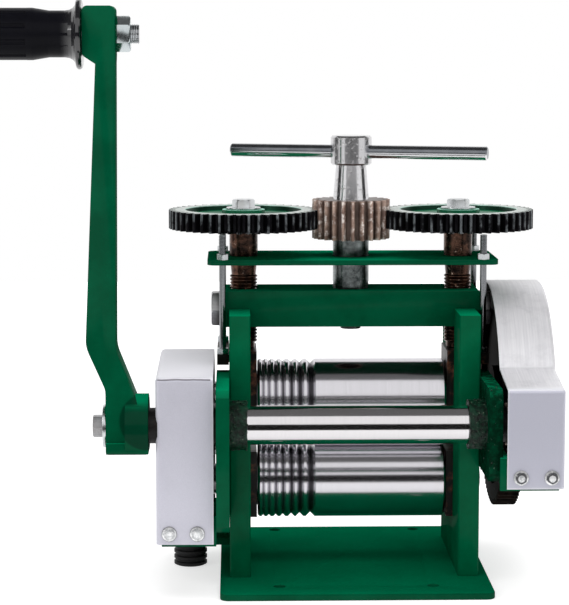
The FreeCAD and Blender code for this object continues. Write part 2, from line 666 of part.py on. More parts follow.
def crank_arm():
    """Cranked flat bar with a round hub on a pad below and a boss for the handle above."""
    low, top = crank_axis_z - arm_below_axis, handle_axis_z + boss_above_axis
    boss_low = handle_axis_z - boss_below_axis
    corners = [(arm_hub_outer_x, low, 0), (arm_hub_inner_x, low, 0),
               (arm_hub_inner_x, crank_axis_z, 0), (arm_toe_x, arm_toe_z, 0),
               (arm_low_right_x, arm_low_right_z, arm_bend_r), (arm_top_right_x, arm_top_z, 0),
               (boss_right_x, boss_low, 0),
               (boss_right_x, top, boss_corner), (boss_left_x, top, boss_corner),
               (boss_left_x, boss_low, boss_corner),
               (arm_top_left_x, arm_top_z, 0), (arm_low_left_x, arm_low_left_z, arm_bend_r),
               (arm_hub_outer_x, arm_heel_z, arm_heel_r)]
    arm = Part.Face(rounded_outline(corners)).extrude(Y_AXIS * arm_width)
    arm.translate(Y_AXIS * (crank_axis_y - arm_width / 2))
    boss = rod_along(X_AXIS, vec(arm_boss_x, crank_axis_y, crank_axis_z),
                     arm_hub_inner_x - arm_boss_x, arm_hub_r)
    boss = boss.cut(box(arm_boss_x, arm_hub_inner_x, crank_axis_y - arm_hub_r,
                        crank_axis_y + arm_hub_r, low, crank_axis_z - arm_hub_r))
    pad = box(arm_hub_outer_x, arm_hub_inner_x, crank_axis_y - arm_pad_half,
              crank_axis_y + arm_pad_half, low, low + arm_pad_high)
    pad = pad.makeFillet(arm_pad_round, [e for e in pad.Edges if e.CenterOfMass.z < low + 0.1])
    arm = arm.fuse([boss, pad]).removeSplitter()
    arm = arm.cut(rod_along(X_AXIS, vec(arm_hub_outer_x, crank_axis_y, crank_axis_z),
                            arm_hub_inner_x - arm_hub_outer_x, crank_end_r))
    return arm.cut(rod_along(X_AXIS, vec(boss_left_x, crank_axis_y, handle_axis_z),
                             boss_right_x - boss_left_x, spindle_r))


def crank_washer():
    start = vec(arm_hub_outer_x, crank_axis_y, crank_axis_z)
    return ring_along(X_AXIS, start, -crank_washer_thick, crank_washer_r, crank_bolt_r)


def crank_bolt():
    seat = arm_hub_outer_x - crank_washer_thick
    head = hexagon(X_AXIS, vec(seat, crank_axis_y, crank_axis_z), -crank_bolt_head,
                   crank_bolt_across)
    end = arm_hub_outer_x + crank_end_gap + crank_bolt_depth
    shank = rod_along(X_AXIS, vec(seat, crank_axis_y, crank_axis_z), end - seat, crank_bolt_r)
    return head.fuse(shank).removeSplitter()


def handle_spindle():
    """Bolt that the grip turns on: head inside the outer end of the grip, nut inside the arm."""
    head_end = grip_start_x - grip_length + grip_cap_length + 1
    stations = [(head_end, spindle_head_r), (head_end + spindle_head, spindle_head_r),
                (head_end + spindle_head, spindle_r),
                (boss_right_x + spindle_nut_height + spindle_end, spindle_r)]
    return turned(X_AXIS, vec(0, crank_axis_y, handle_axis_z), stations)


def handle_nut():
    start = vec(boss_right_x, crank_axis_y, handle_axis_z)
    nut = hexagon(X_AXIS, start, spindle_nut_height, spindle_nut_across)
    nut.rotate(start, X_AXIS, 30)
    return nut.cut(rod_along(X_AXIS, start, spindle_nut_height, spindle_r))


def handle_grip():
    """Grip with a flared guard, a waist and shallow flutes, hollow for the spindle."""
    far = -grip_length
    rim_path_r = grip_flange_r - grip_rim_r
    flare_length, flare_rise = grip_waist_end - 2 * grip_rim_r, rim_path_r - grip_waist_r
    stations = [(far, grip_r - grip_end_round), (far + grip_end_round, grip_r),
                (-grip_body_start, grip_r), (-grip_waist_start, grip_waist_r)]
    for angle in (0, 22.5, 45, 67.5):
        turn = math.radians(angle)
        stations.append((flare_length * math.sin(turn) - grip_waist_end,
                         grip_waist_r + flare_rise * (1 - math.cos(turn))))
    for angle in (0, 30, 60, 90, 120, 150, 180):
        turn = math.radians(angle)
        stations.append((-grip_rim_r * (1 + math.cos(turn)), rim_path_r + grip_rim_r * math.sin(turn)))
    origin = vec(grip_start_x, crank_axis_y, handle_axis_z)
    grip = turned(X_AXIS, origin, stations)
    grip = grip.cut(rod_along(X_AXIS, origin, -grip_length, spindle_r + running_gap))
    pocket = origin - X_AXIS * grip_length
    grip = grip.cut(rod_along(X_AXIS, pocket, grip_cap_length + spindle_head + 1 + face_gap,
                              spindle_head_r + face_gap))
    flute_path_r = grip_r + flute_r - flute_depth
    for index in range(grip_flutes):
        angle = 2 * math.pi * (index + 0.5) / grip_flutes
        start = origin + vec(-grip_flute_start, flute_path_r * math.cos(angle),
                             flute_path_r * math.sin(angle))
        grip = grip.cut(rod_along(X_AXIS, start, grip_flute_start + grip_flute_end_gap - grip_length,
                                  flute_r))
    return grip


def grip_cap():
    origin = vec(grip_start_x - grip_length, crank_axis_y, handle_axis_z)
    return rod_along(X_AXIS, origin, grip_cap_length - face_gap, spindle_head_r + face_gap)


# ---------------------------------------------------------------- covers, brackets and foot
def bent_block(face_yz, depth, radius, open_low_z):
    """An outline pulled along X, with round bends except at its open side and open bottom."""
    block = face_yz.extrude(X_AXIS * depth)
    bends = [e for e in block.Edges
             if e.CenterOfMass.x > 1e-6 and e.BoundBox.ZMax > open_low_z + 1e-6
             and not (e.BoundBox.XLength > 1e-6 and e.BoundBox.ZMin < open_low_z + 1e-6)]
    return block.makeFillet(radius, bends)


def sheet_cover(face_yz, side, outer_x, open_low_z):
    """A sheet cover from an outline in the YZ plane, open towards the frame and below."""
    depth = outer_x - cover_inner_x
    outer = bent_block(face_yz, depth, cover_bend_r, open_low_z)
    inner_face = face_yz.makeOffset2D(-cover_wall)
    bounds = inner_face.BoundBox
    inner = bent_block(inner_face, depth - cover_wall, cover_bend_r - cover_wall, bounds.ZMin)
    opening = box(0, depth - cover_wall, bounds.YMin, bounds.YMax, open_low_z - 1,
                  open_low_z + cover_wall * 2)
    shell = outer.cut(inner.fuse(opening))
    shell.translate(X_AXIS * cover_inner_x)
    if side < 0:
        shell = shell.mirror(vec(0, 0, 0), X_AXIS)
    return shell


def left_cover():
    points = [(left_front_y, left_low_z), (left_front_y, left_front_top_z),
              (left_top_start_y, left_top_z), (left_top_end_y, left_top_z),
              (left_back_y, left_back_top_z), (left_back_y, left_low_z)]
    wire = [vec(0, y, z) for y, z in points]
    face = Part.Face(Part.makePolygon(wire + [wire[0]]))
    cover = sheet_cover(face, -1, left_cover_outer_x, left_low_z)
    cover = cover.cut(rod_along(X_AXIS, vec(-left_cover_outer_x, crank_axis_y, crank_axis_z),
                                cover_wall, cover_hole_r))
    for x in left_screw_x:
        cover = cover.cut(rod_along(Y_AXIS, vec(x, left_front_y, left_screw_z), cover_wall,
                                    cover_screw_r))
    return cover


def right_cover():
    fold_z = right_drum_z + math.sqrt(right_drum_r ** 2 - right_fold_y ** 2)
    back_angle = math.asin((right_low_z - right_drum_z) / right_drum_r)
    back = (right_drum_r * math.cos(back_angle), right_low_z)
    start = [(right_fold_y, fold_z), (right_front_y, right_front_top_z),
             (right_front_y, right_low_z), back]
    edges = [Part.makeLine(vec(0, *a), vec(0, *b)) for a, b in zip(start, start[1:])]
    top = vec(0, 0, right_drum_z + right_drum_r)
    edges.append(Part.Arc(vec(0, *back), top, vec(0, right_fold_y, fold_z)).toShape())
    face = Part.Face(Part.Wire(Part.sortEdges(edges)[0]))
    cover = sheet_cover(face, 1, right_cover_outer_x, right_low_z)
    for x in right_screw_x:
        cover = cover.cut(rod_along(Y_AXIS, vec(x, right_front_y, right_screw_z), cover_wall,
                                    cover_screw_r))
    return cover


def cover_screws(places, front_y, z):
    """Screws that hold a cover: a washer, a domed hexagon head and the shank behind them."""
    screws = []
    for x in places:
        washer = rod_along(Y_AXIS, vec(x, front_y, z), -cover_washer_thick, cover_washer_r)
        seat = vec(x, front_y - cover_washer_thick, z)
        neck = rod_along(Y_AXIS, seat, -cover_screw_shoulder, cover_screw_r)
        head = hexagon(Y_AXIS, seat, -cover_nut_high, cover_nut_across)
        shank = rod_along(Y_AXIS, vec(x, front_y, z), cover_wall + bracket_thick, cover_screw_r)
        screws.append(washer.fuse([neck, head, shank]).removeSplitter())
    return group(screws)


def cover_bracket(front_y, inner_x, outer_x, low_z, high_z, side, lug_low_z, screw_places, screw_z):
    """Flange behind a cover's front wall and the web that joins it to the lug plate."""
    flange_y = front_y + cover_wall
    web_x = side * lug_outer_x
    flange = box(inner_x, outer_x, flange_y, flange_y + bracket_thick, low_z, high_z)
    web = box(web_x, web_x + side * bracket_thick, flange_y, bracket_web_back_y, low_z, high_z)
    riser = box(web_x, web_x + side * bracket_thick, bracket_riser_y, bracket_web_back_y,
                min(low_z, lug_low_z), lug_low_z + bracket_overlap)
    bracket = flange.fuse([web, riser]).removeSplitter()
    for x in screw_places:
        bracket = bracket.cut(rod_along(Y_AXIS, vec(x, flange_y, screw_z), bracket_thick,
                                        cover_screw_r))
    return bracket


def foot_bracket():
    bracket = box(foot_x - foot_bracket_width / 2, -frame_outer_x, -foot_bracket_width / 2,
                  foot_bracket_width / 2, foot_height, foot_height + foot_bracket_thick)
    return bracket.cut(rod_along(Z_AXIS, vec(foot_x, 0, foot_height), foot_bracket_thick,
                                 foot_stud_r))


def support_foot():
    """Ribbed rubber foot under the overhanging gear case."""
    pitch = foot_height / foot_ribs
    stations = [(0, foot_r - 1.2)]
    for rib in range(foot_ribs):
        z = rib * pitch
        stations += [(z + 0.6, foot_r), (z + pitch - 1.4, foot_r), (z + pitch - 0.8, foot_r - 1.2),
                     (z + pitch, foot_r - 1.2)]
    foot = turned(Z_AXIS, vec(foot_x, 0, 0), stations)
    return foot.cut(rod_along(Z_AXIS, vec(foot_x, 0, foot_height), -foot_height / 2, foot_stud_r))


def foot_stud():
    top = foot_height + foot_bracket_thick
    stud = rod_along(Z_AXIS, vec(foot_x, 0, foot_height / 2), top - foot_height / 2, foot_stud_r)
    nut = hexagon(Z_AXIS, vec(foot_x, 0, top), foot_nut_high, foot_nut_across)
    return stud.fuse(nut).removeSplitter()


# ---------------------------------------------------------------- the whole mill
def build():
    nodes["base_plate"] = base_plate()
    right, left = mirrored_pair(side_frame())
    shanks = lug_screw_shanks()
    for shank in shanks:
        right = right.cut(shank)
        left = left.cut(shank.mirror(vec(0, 0, 0), X_AXIS))
    nodes["side_frame_right"], nodes["side_frame_left"] = right, left
    nodes["lug_plate_right"] = lug_plate(right_lug_low_z)
    nodes["lug_plate_left"] = mirrored_pair(lug_plate(left_lug_low_z))[1]
    nodes["lug_bushes"] = group(mirrored_pair(lug_bush()))
    heads = [rod_along(X_AXIS, vec(lug_outer_x, y, z), lug_screw_head, lug_screw_head_r)
             for y, z in lug_screw_places()]
    screws = [head.fuse(shank).removeSplitter() for head, shank in zip(heads, shanks)]
    nodes["lug_screws"] = group([s for screw in screws for s in mirrored_pair(screw)])

    nodes["lower_block_right"], nodes["lower_block_left"] = mirrored_pair(lower_block())
    nodes["upper_block_right"], nodes["upper_block_left"] = mirrored_pair(upper_block())
    nodes["lower_roll_bushes"] = group(mirrored_pair(roll_bush(lower_axis_z)))
    nodes["upper_roll_bushes"] = group(mirrored_pair(roll_bush(upper_axis_z)))
    nodes["lower_thrust_washers"] = group(mirrored_pair(thrust_washer(lower_axis_z)))
    nodes["upper_thrust_washers"] = group(mirrored_pair(thrust_washer(upper_axis_z)))

    nodes["upper_roll"] = upper_roll()
    nodes["lower_roll"] = lower_roll()
    nodes["drive_gear"] = drive_gear()
    nodes["upper_coupling_gear"] = coupling_gear(upper_axis_z, 270)
    nodes["lower_coupling_gear"] = coupling_gear(lower_axis_z, 90 + 180 / coupling_teeth)
    nodes["upper_roll_keys"] = group([key_in(coupling_end_x, coupling_x, upper_axis_z, 0, shaft_end_r),
                                      key_in(drive_gear_x, drive_gear_end_x, upper_axis_z, 0,
                                             shaft_end_r)])
    nodes["lower_roll_key"] = key_in(coupling_end_x, coupling_x, lower_axis_z, 0, shaft_end_r)
    nodes["upper_roll_nuts"] = group([end_nut(coupling_end_x, 0, upper_axis_z, -stud_end_r, stud_end_r),
                                      end_nut(drive_gear_end_x, 0, upper_axis_z, stud_end_r,
                                              stud_end_r)])
    nodes["lower_roll_nuts"] = group([end_nut(coupling_end_x, 0, lower_axis_z, -stud_end_r, stud_end_r),
                                      end_nut(block_outer_x + face_gap, 0, lower_axis_z,
                                              stud_end_r - 1, stud_end_r)])

    nodes["bridge"] = bridge()
    nodes["bridge_end_bolts"] = group(mirrored_pair(end_bolt()))
    for name, x in (("left", -screw_x), ("right", screw_x)):
        nodes["pressure_screw_" + name] = pressure_screw(x)
        nodes["screw_sleeve_" + name] = screw_sleeve(x)
        nodes["screw_gear_" + name] = screw_gear(x)
        nodes["gear_bolt_" + name] = gear_bolt(x)
    nodes["lifting_plate"] = lifting_plate()
    nodes["lift_rods"] = lift_rods()
    nodes["lift_nuts"] = lift_nuts()
    nodes["center_pinion"] = center_pinion()
    nodes["handle_shaft"] = handle_shaft()
    nodes["tee_bar"] = tee_bar()
    nodes["handle_circlip"] = handle_circlip()

    nodes["crankshaft"] = crankshaft()
    nodes["drive_pinion"] = drive_pinion()
    nodes["drive_pinion_nut"] = end_nut(drive_pinion_x + drive_pinion_width, crank_axis_y,
                                        crank_axis_z, pinion_stud_r, pinion_stud_r)
    nodes["crank_arm"] = crank_arm()
    nodes["crank_washer"] = crank_washer()
    nodes["crank_bolt"] = crank_bolt()
    nodes["handle_spindle"] = handle_spindle()
    nodes["handle_nut"] = handle_nut()
    nodes["handle_grip"] = handle_grip()
    nodes["grip_cap"] = grip_cap()

    nodes["left_cover"] = left_cover()
    nodes["right_cover"] = right_cover()
    nodes["left_cover_screws"] = cover_screws(left_screw_x, left_front_y, left_screw_z)
    nodes["right_cover_screws"] = cover_screws(right_screw_x, right_front_y, right_screw_z)
    nodes["left_cover_bracket"] = cover_bracket(left_front_y, -lug_outer_x,
                                                bracket_outer_gap - left_cover_outer_x,
                                                left_bracket_low_z, left_bracket_high_z, -1,
                                                left_lug_low_z, left_screw_x, left_screw_z)
    nodes["right_cover_bracket"] = cover_bracket(right_front_y, right_bracket_inner_x,
                                                 right_cover_outer_x - bracket_outer_gap,
                                                 right_bracket_low_z, right_bracket_high_z, 1,
                                                 right_lug_low_z, right_screw_x, right_screw_z)
    nodes["foot_bracket"] = foot_bracket()
    nodes["support_foot"] = support_foot()
    nodes["foot_stud"] = foot_stud()


def export():
    os.makedirs("parts", exist_ok=True)
    for name, shape in nodes.items():
        shape.exportStep(os.path.join("parts", name + ".step"))
    print(len(nodes), "nodes,", sum(len(s.Solids) for s in nodes.values()), "solids")


build()
export()
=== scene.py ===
# %% [markdown]
# # A jewellers rolling mill
# The mill squeezes metal between two hardened rolls.  Its construction is already made: this
# file loads it as a fixed frame and gives it its finish.  Painted castings get rounded edges,
# threads and crumbs of grease are grown by Geometry Nodes, and every surface gets a material
# made of maths on the object's own coordinates, so that it looks the same from everywhere.

# %% Load the frame
import json
import math

import bmesh
import bpy
from mathutils import Matrix, Vector


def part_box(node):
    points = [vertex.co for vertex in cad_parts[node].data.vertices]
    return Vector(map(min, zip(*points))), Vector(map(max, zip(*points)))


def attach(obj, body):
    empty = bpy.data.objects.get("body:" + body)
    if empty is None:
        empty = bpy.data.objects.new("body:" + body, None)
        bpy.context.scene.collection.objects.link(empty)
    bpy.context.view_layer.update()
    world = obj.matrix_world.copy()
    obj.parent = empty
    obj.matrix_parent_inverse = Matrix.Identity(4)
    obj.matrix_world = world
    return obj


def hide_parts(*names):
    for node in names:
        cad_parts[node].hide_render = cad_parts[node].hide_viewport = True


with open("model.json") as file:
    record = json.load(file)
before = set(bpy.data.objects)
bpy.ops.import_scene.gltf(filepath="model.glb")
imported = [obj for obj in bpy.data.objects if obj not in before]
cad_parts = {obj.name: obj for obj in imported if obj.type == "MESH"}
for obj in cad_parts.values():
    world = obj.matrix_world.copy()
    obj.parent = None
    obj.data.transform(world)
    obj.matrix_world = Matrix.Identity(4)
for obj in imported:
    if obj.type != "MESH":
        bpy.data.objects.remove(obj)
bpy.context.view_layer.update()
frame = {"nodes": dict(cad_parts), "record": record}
nodes = frame["nodes"]
body_of = {node: body for body, members in frame["record"]["behaviour"]["bodies"].items()
           for node in members}
MM = 0.001

# %% [markdown]
# ## Camera
# The mill is seen from a little above and a little to the left of its middle, from far enough
# away for a long lens.  A camera could be aimed by a constraint, but fixed angles keep it exactly
# where it is put.  It comes first, because everything else is judged through it.

# %% Camera
camera_place = (-0.0688, -1.2388, 0.3093)
camera_pitch_down, camera_turn_right = 7.015, 1.379
camera_lens, camera_sensor = 126.1, 36.0
camera_data = bpy.data.cameras.new("camera")
camera_data.lens = camera_lens
camera_data.sensor_width = camera_sensor
camera = bpy.data.objects.new("camera", camera_data)
camera.location = camera_place
camera.rotation_euler = (math.radians(90 - camera_pitch_down), 0,
                         math.radians(-camera_turn_right))
bpy.context.scene.collection.objects.link(camera)
bpy.context.scene.camera = camera
print("camera:", camera_lens, "mm lens,", camera_pitch_down, "degrees down")

# %% [markdown]
# ## Writing shader maths as Python
# A shader works in linear light, while a colour is easiest to write as it looks on a screen.
# `linear` turns one into the other.


# %% Colours
def linear(red, green, blue):
    """A display colour from 0 to 255 as the linear colour that a shader takes."""
    def channel(value):
        share = value / 255
        return share / 12.92 if share <= 0.04045 else ((share + 0.055) / 1.055) ** 2.4
    return (channel(red), channel(green), channel(blue), 1.0)


print("half grey on a screen is", round(linear(128, 128, 128)[0], 3), "in a shader")

# %% [markdown]
# Nodes are verbose to wire by hand, in shaders and in Geometry Nodes alike.  `wire` makes one
# from its type, its settings and the values or links of its sockets.


# %% Wiring
def feed(tree, socket, value):
    """Links a socket to another socket or to a Term, or gives it a plain value."""
    source = getattr(value, "socket", value)
    if isinstance(source, bpy.types.NodeSocket):
        tree.links.new(source, socket)
    else:
        socket.default_value = value


def wire(tree, kind, settings=None, values=None):
    node = tree.nodes.new(kind)
    for name, value in (settings or {}).items():
        setattr(node, name, value)
    for name, value in (values or {}).items():
        feed(tree, node.inputs[name], value)
    return node


print("helpers:", feed.__name__, "and", wire.__name__)

# %% [markdown]
# `Term` wraps one output socket, so that ordinary operators add the Math nodes and a formula
# reads as it would on paper.


# %% One number in a material
class Term:
    """One number in a material; operators on it add Math nodes."""

    def __init__(self, finish, socket):
        self.finish = finish
        self.socket = socket

    def math(self, operation, *others):
        values = dict(enumerate((self,) + others))
        return self.finish.node("ShaderNodeMath", {"operation": operation}, values)

    def __add__(self, other):
        return self.math("ADD", other)

    def __sub__(self, other):
        return self.math("SUBTRACT", other)

    def __rsub__(self, other):
        return self.math("MULTIPLY", -1.0).math("ADD", other)

    def __mul__(self, other):
        return self.math("MULTIPLY", other)

    def __pow__(self, other):
        return self.math("POWER", other)

    __radd__ = __add__
    __rmul__ = __mul__

    def ramp(self, low, high):
        """0 below low, 1 above high, and smooth between them."""
        settings = {"interpolation_type": "SMOOTHSTEP"}
        values = {"Value": self, "From Min": low, "From Max": high}
        return self.finish.node("ShaderNodeMapRange", settings, values)


print("helper:", Term.__name__, "with the operators + - * **")

# %% [markdown]
# `Finish` owns one material and its shader.  A value that is the same all over is given by name
# when it is made, with an underscore for each space.  `node` makes any other node and gives one
# of its outputs as a `Term`, and `surface` sets the three inputs that every finish varies.


# %% One material
class Finish:
    """A material with its Principled shader."""

    def __init__(self, name, **fixed):
        self.material = bpy.data.materials.new(name)
        self.material.use_nodes = True
        self.tree = self.material.node_tree
        self.shader = self.tree.nodes["Principled BSDF"]
        for socket, value in fixed.items():
            self.shader.inputs[socket.replace("_", " ")].default_value = value

    def node(self, kind, settings=None, values=None, output=0):
        return Term(self, wire(self.tree, kind, settings, values).outputs[output])

    def set(self, name, value):
        feed(self.tree, self.shader.inputs[name], value)

    def surface(self, colour, rough, relief):
        self.set("Base Color", colour)
        self.set("Roughness", rough)
        self.set("Normal", relief)
        return self.material

    def position(self):
        return self.node("ShaderNodeTexCoord", output="Object")

    def parts(self, vector):
        split = self.node("ShaderNodeSeparateXYZ", {}, {0: vector}).socket.node
        return tuple(Term(self, output) for output in split.outputs)

    def axes(self):
        """The X, Y and Z of a point on the piece, in metres."""
        return self.parts(self.position())

    def facing(self):
        """The X, Y and Z of the surface's own direction."""
        return self.parts(self.node("ShaderNodeNewGeometry", output="Normal"))

    def stretched(self, x, y, z):
        """Object coordinates scaled along each axis."""
        values = {"Vector": self.position(), "Scale": (x, y, z)}
        return self.node("ShaderNodeMapping", {}, values)

    def noise(self, scale, detail, roughness, vector=None):
        values = {"Vector": vector or self.position(), "Scale": scale, "Detail": detail,
                  "Roughness": roughness}
        return self.node("ShaderNodeTexNoise", {}, values)

    def mix(self, factor, first, second):
        values = {0: factor, 6: first, 7: second}
        return self.node("ShaderNodeMix", {"data_type": "RGBA"}, values, output=2)

    def bump(self, height, distance, strength, over=None):
        values = {"Height": height, "Distance": distance, "Strength": strength}
        if over is not None:
            values["Normal"] = over
        return self.node("ShaderNodeBump", {}, values)


print("helper:", Finish.__name__, "beside", len(bpy.data.materials), "plain materials")

# %% [markdown]
# Three patterns come back in many finishes.  `radius_about` measures from an axis, `band` marks a
# stripe, and `turning_marks` is noise squeezed along the axis of a lathe, so that its streaks run
# round the work as tool marks do.  Oil and grease gather round the crankshaft, so its axis is
# measured here too.


# %% Patterns that come back
def radius_about(first, second, centre_first, centre_second):
    """Distance of a point from a straight axis, from its two coordinates across it."""
    a, b = first - centre_first, second - centre_second
    return (a * a + b * b) ** 0.5


def band(value, low, high, soft=0.2 * MM):
    """1 between low and high, 0 outside, with soft ends."""
    return value.ramp(low - soft, low) * (1 - value.ramp(high, high + soft))


def turning_marks(finish, axis, fine):
    scale = tuple(fine if letter == axis else marks_round_the_work for letter in "XYZ")
    return finish.noise(scale=1.0, detail=3.0, roughness=0.6, vector=finish.stretched(*scale))


marks_round_the_work = 12.0
crank_low, crank_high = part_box("drive_pinion")
crank_y, crank_z = (crank_low.y + crank_high.y) / 2, (crank_low.z + crank_high.z) / 2
print("the crankshaft's axis is at y", round(crank_y, 4), "and z", round(crank_z, 4))

# %% [markdown]
# ## Finishes
# The frame is brushed with thick glossy green enamel: it is never quite even, is made lighter on
# its upper sides as painted light from above, gathers dust, and is darker on its undersides as
# painted shade.  One paint with a few measures of grease and painted light serves every green
# part, so they look as if they came out of the same pot.  Gloss is a coat over a matt paint,
# because brushed enamel shines only where it lies thick.


# %% Green enamel
def green_enamel(name, grease=0.0, painted_shade_disc=None, top_light=0.85, tone=1.0):
    """Brushed enamel, darkened all over by grease from 0 to 1, with painted light on its upper
    sides and painted shade on its undersides.

    A round patch of painted shade can be laid over the side faces: its x, its z and its radius.
    tone makes the paint lighter all over, as painted light.
    """
    finish = Finish(name, Specular_IOR_Level=0.0, Coat_Roughness=0.16, Coat_IOR=1.3)
    clouds = finish.noise(scale=38.0, detail=4.0, roughness=0.6)
    specks = finish.noise(scale=900.0, detail=2.0, roughness=0.5).ramp(0.66, 0.74)
    facing_x, _, facing_z = finish.facing()
    up = facing_z.ramp(0.5, 0.95)
    under = (facing_z * -1).ramp(0.6, 0.95)
    ends = facing_x.math("ABSOLUTE").ramp(0.8, 0.97)
    paint = finish.mix(clouds.ramp(0.3, 0.7), linear(0, 68 * tone, 43 * tone),
                       linear(0, 80 * tone, 52 * tone))
    # Painted light: faces that look up are made lighter.
    paint = finish.mix(up * top_light, paint, linear(0, 122, 82))
    paint = finish.mix(specks * up * 0.2, paint, linear(90, 130, 112))
    # Painted shade: faces that look down are made darker.
    paint = finish.mix(under * 0.7, paint, linear(4, 26, 18))
    peel = finish.noise(scale=420.0, detail=2.0, roughness=0.5)
    relief = finish.bump(peel, 0.12 * MM, 0.5)
    if grease:
        crust = finish.noise(scale=240.0, detail=5.0, roughness=0.7)
        # Painted glints: pale specks in the grease.
        painted_glints = finish.noise(scale=520.0, detail=3.0, roughness=0.7).ramp(0.66, 0.72)
        film = (crust.ramp(0.3, 0.6) * 0.6 + 0.4) * grease
        paint = finish.mix(film, paint, linear(4, 28, 17))
        paint = finish.mix(painted_glints * grease * 0.6, paint, linear(96, 132, 112))
        relief = finish.bump(crust, 0.8 * MM, 0.7, relief)
    # Painted shade: a dark round patch on the faces that don't look up.
    if painted_shade_disc:
        x, _, z = finish.axes()
        centre_x, centre_z, radius = painted_shade_disc
        wet = 1 - radius_about(x, z, centre_x, centre_z).ramp(radius * 0.92, radius)
        paint = finish.mix(wet * (1 - up) * 0.8, paint, linear(2, 44, 29))
    finish.set("Coat Weight", (1 - up) * (1 - ends * 0.9) * 0.24 * (1 - grease * 0.6))
    return finish.surface(paint, clouds * 0.16 + 0.3, relief)


# A round patch of painted shade on the arm's hub, a little above the crankshaft's axis.
shade_disc_above_crank, shade_disc_radius = 4.5 * MM, 16.5 * MM
hub_right_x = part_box("crank_arm")[1].x
arm_enamel = green_enamel("arm_enamel",
                          painted_shade_disc=(hub_right_x, crank_z + shade_disc_above_crank, shade_disc_radius))
enamel = green_enamel("green_enamel")
greasy_enamel = green_enamel("greasy_enamel", grease=0.9)
# The base plate gets less of the painted light on its top.
base_enamel = green_enamel("base_enamel", top_light=0.42)
# The side frames take a lighter copy of the paint, as painted light.
lit_frame_enamel = green_enamel("lit_frame_enamel", tone=1.17)
print("green enamels:", sum("enamel" in material.name for material in bpy.data.materials))

# %% [markdown]
# The sheet covers are silver grey with a faint lilac cast.  The left one has a dark seam under its
# folded top.  Where a sheet is bent or cut, its edge gets a bright line of painted highlight,
# placed by measures from the cover's own box.  The insides are dark: a point is inside where its
# face looks towards the middle of the cover.


# %% Left cover
def inside_of(finish, low, high):
    """1 on the inner faces of a cover, which look towards the middle of it."""
    x, y, z = finish.axes()
    facing_x, facing_y, facing_z = finish.facing()
    middle = (low + high) / 2
    across = (facing_y * y + facing_z * (z - middle.z)).ramp(-inner_face_margin, 0.0)
    along = (facing_x * (x - middle.x)).ramp(-inner_face_margin, 0.0)
    return 1 - across * along


def sheet_relief(finish, grain):
    waves = finish.noise(scale=22.0, detail=2.0, roughness=0.5)
    return waves, finish.bump(grain, 0.04 * MM, 0.25, finish.bump(waves, 1.2 * MM, 0.35))


def left_cover_paint():
    finish = Finish("left_cover_paint", Metallic=0.25)
    low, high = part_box("left_cover")
    x, _, z = finish.axes()
    front = 1 - finish.facing()[1].ramp(-0.9, -0.3)
    grain = finish.noise(scale=2600.0, detail=2.0, roughness=0.6)
    smudges = finish.noise(scale=60.0, detail=5.0, roughness=0.65).ramp(0.5, 0.8)
    wobble = (finish.noise(scale=90.0, detail=2.0, roughness=0.5) - 0.5) * MM
    paint = finish.mix(grain, linear(190, 189, 201), linear(211, 210, 221))
    paint = finish.mix(smudges * 0.25, paint, linear(180, 179, 190))
    seam_z = high.z - seam_below_top
    lid = z.ramp(seam_z - 0.2 * MM, seam_z + 0.2 * MM)
    paint = finish.mix(lid * 0.8, paint, linear(222, 221, 227))
    ends = band(x, low.x + 1.0 * MM, high.x - 1.6 * MM)
    seam = band(z + wobble, seam_z - 0.4 * MM, seam_z + 0.2 * MM) * front * ends
    paint = finish.mix(seam * 0.8, paint, linear(70, 66, 72))
    # Painted highlight: a bright line down each side edge of the front.
    bright_edge = 1 - band(x, low.x + 0.9 * MM, high.x - 0.9 * MM, 0.5 * MM)
    paint = finish.mix(bright_edge * front * 0.5, paint, linear(232, 232, 236))
    paint = finish.mix(inside_of(finish, low, high), paint, dark_inside)
    waves, relief = sheet_relief(finish, grain)
    return finish.surface(paint, waves * 0.14 + 0.34, relief)


inner_face_margin = 4.0 * MM
# The inner faces of the covers are dark.
dark_inside = linear(34, 30, 28)
seam_below_top = 3.3 * MM
left_paint = left_cover_paint()
print("seam", round(seam_below_top / MM, 1), "mm below the left cover's top")

# %% [markdown]
# The right cover is the same sheet, but its drum is brushed bright above the front fold.  Noise
# stretched along the drum makes the brush marks, and the same marks feed colour, roughness and
# relief, because one scratch changes all three.


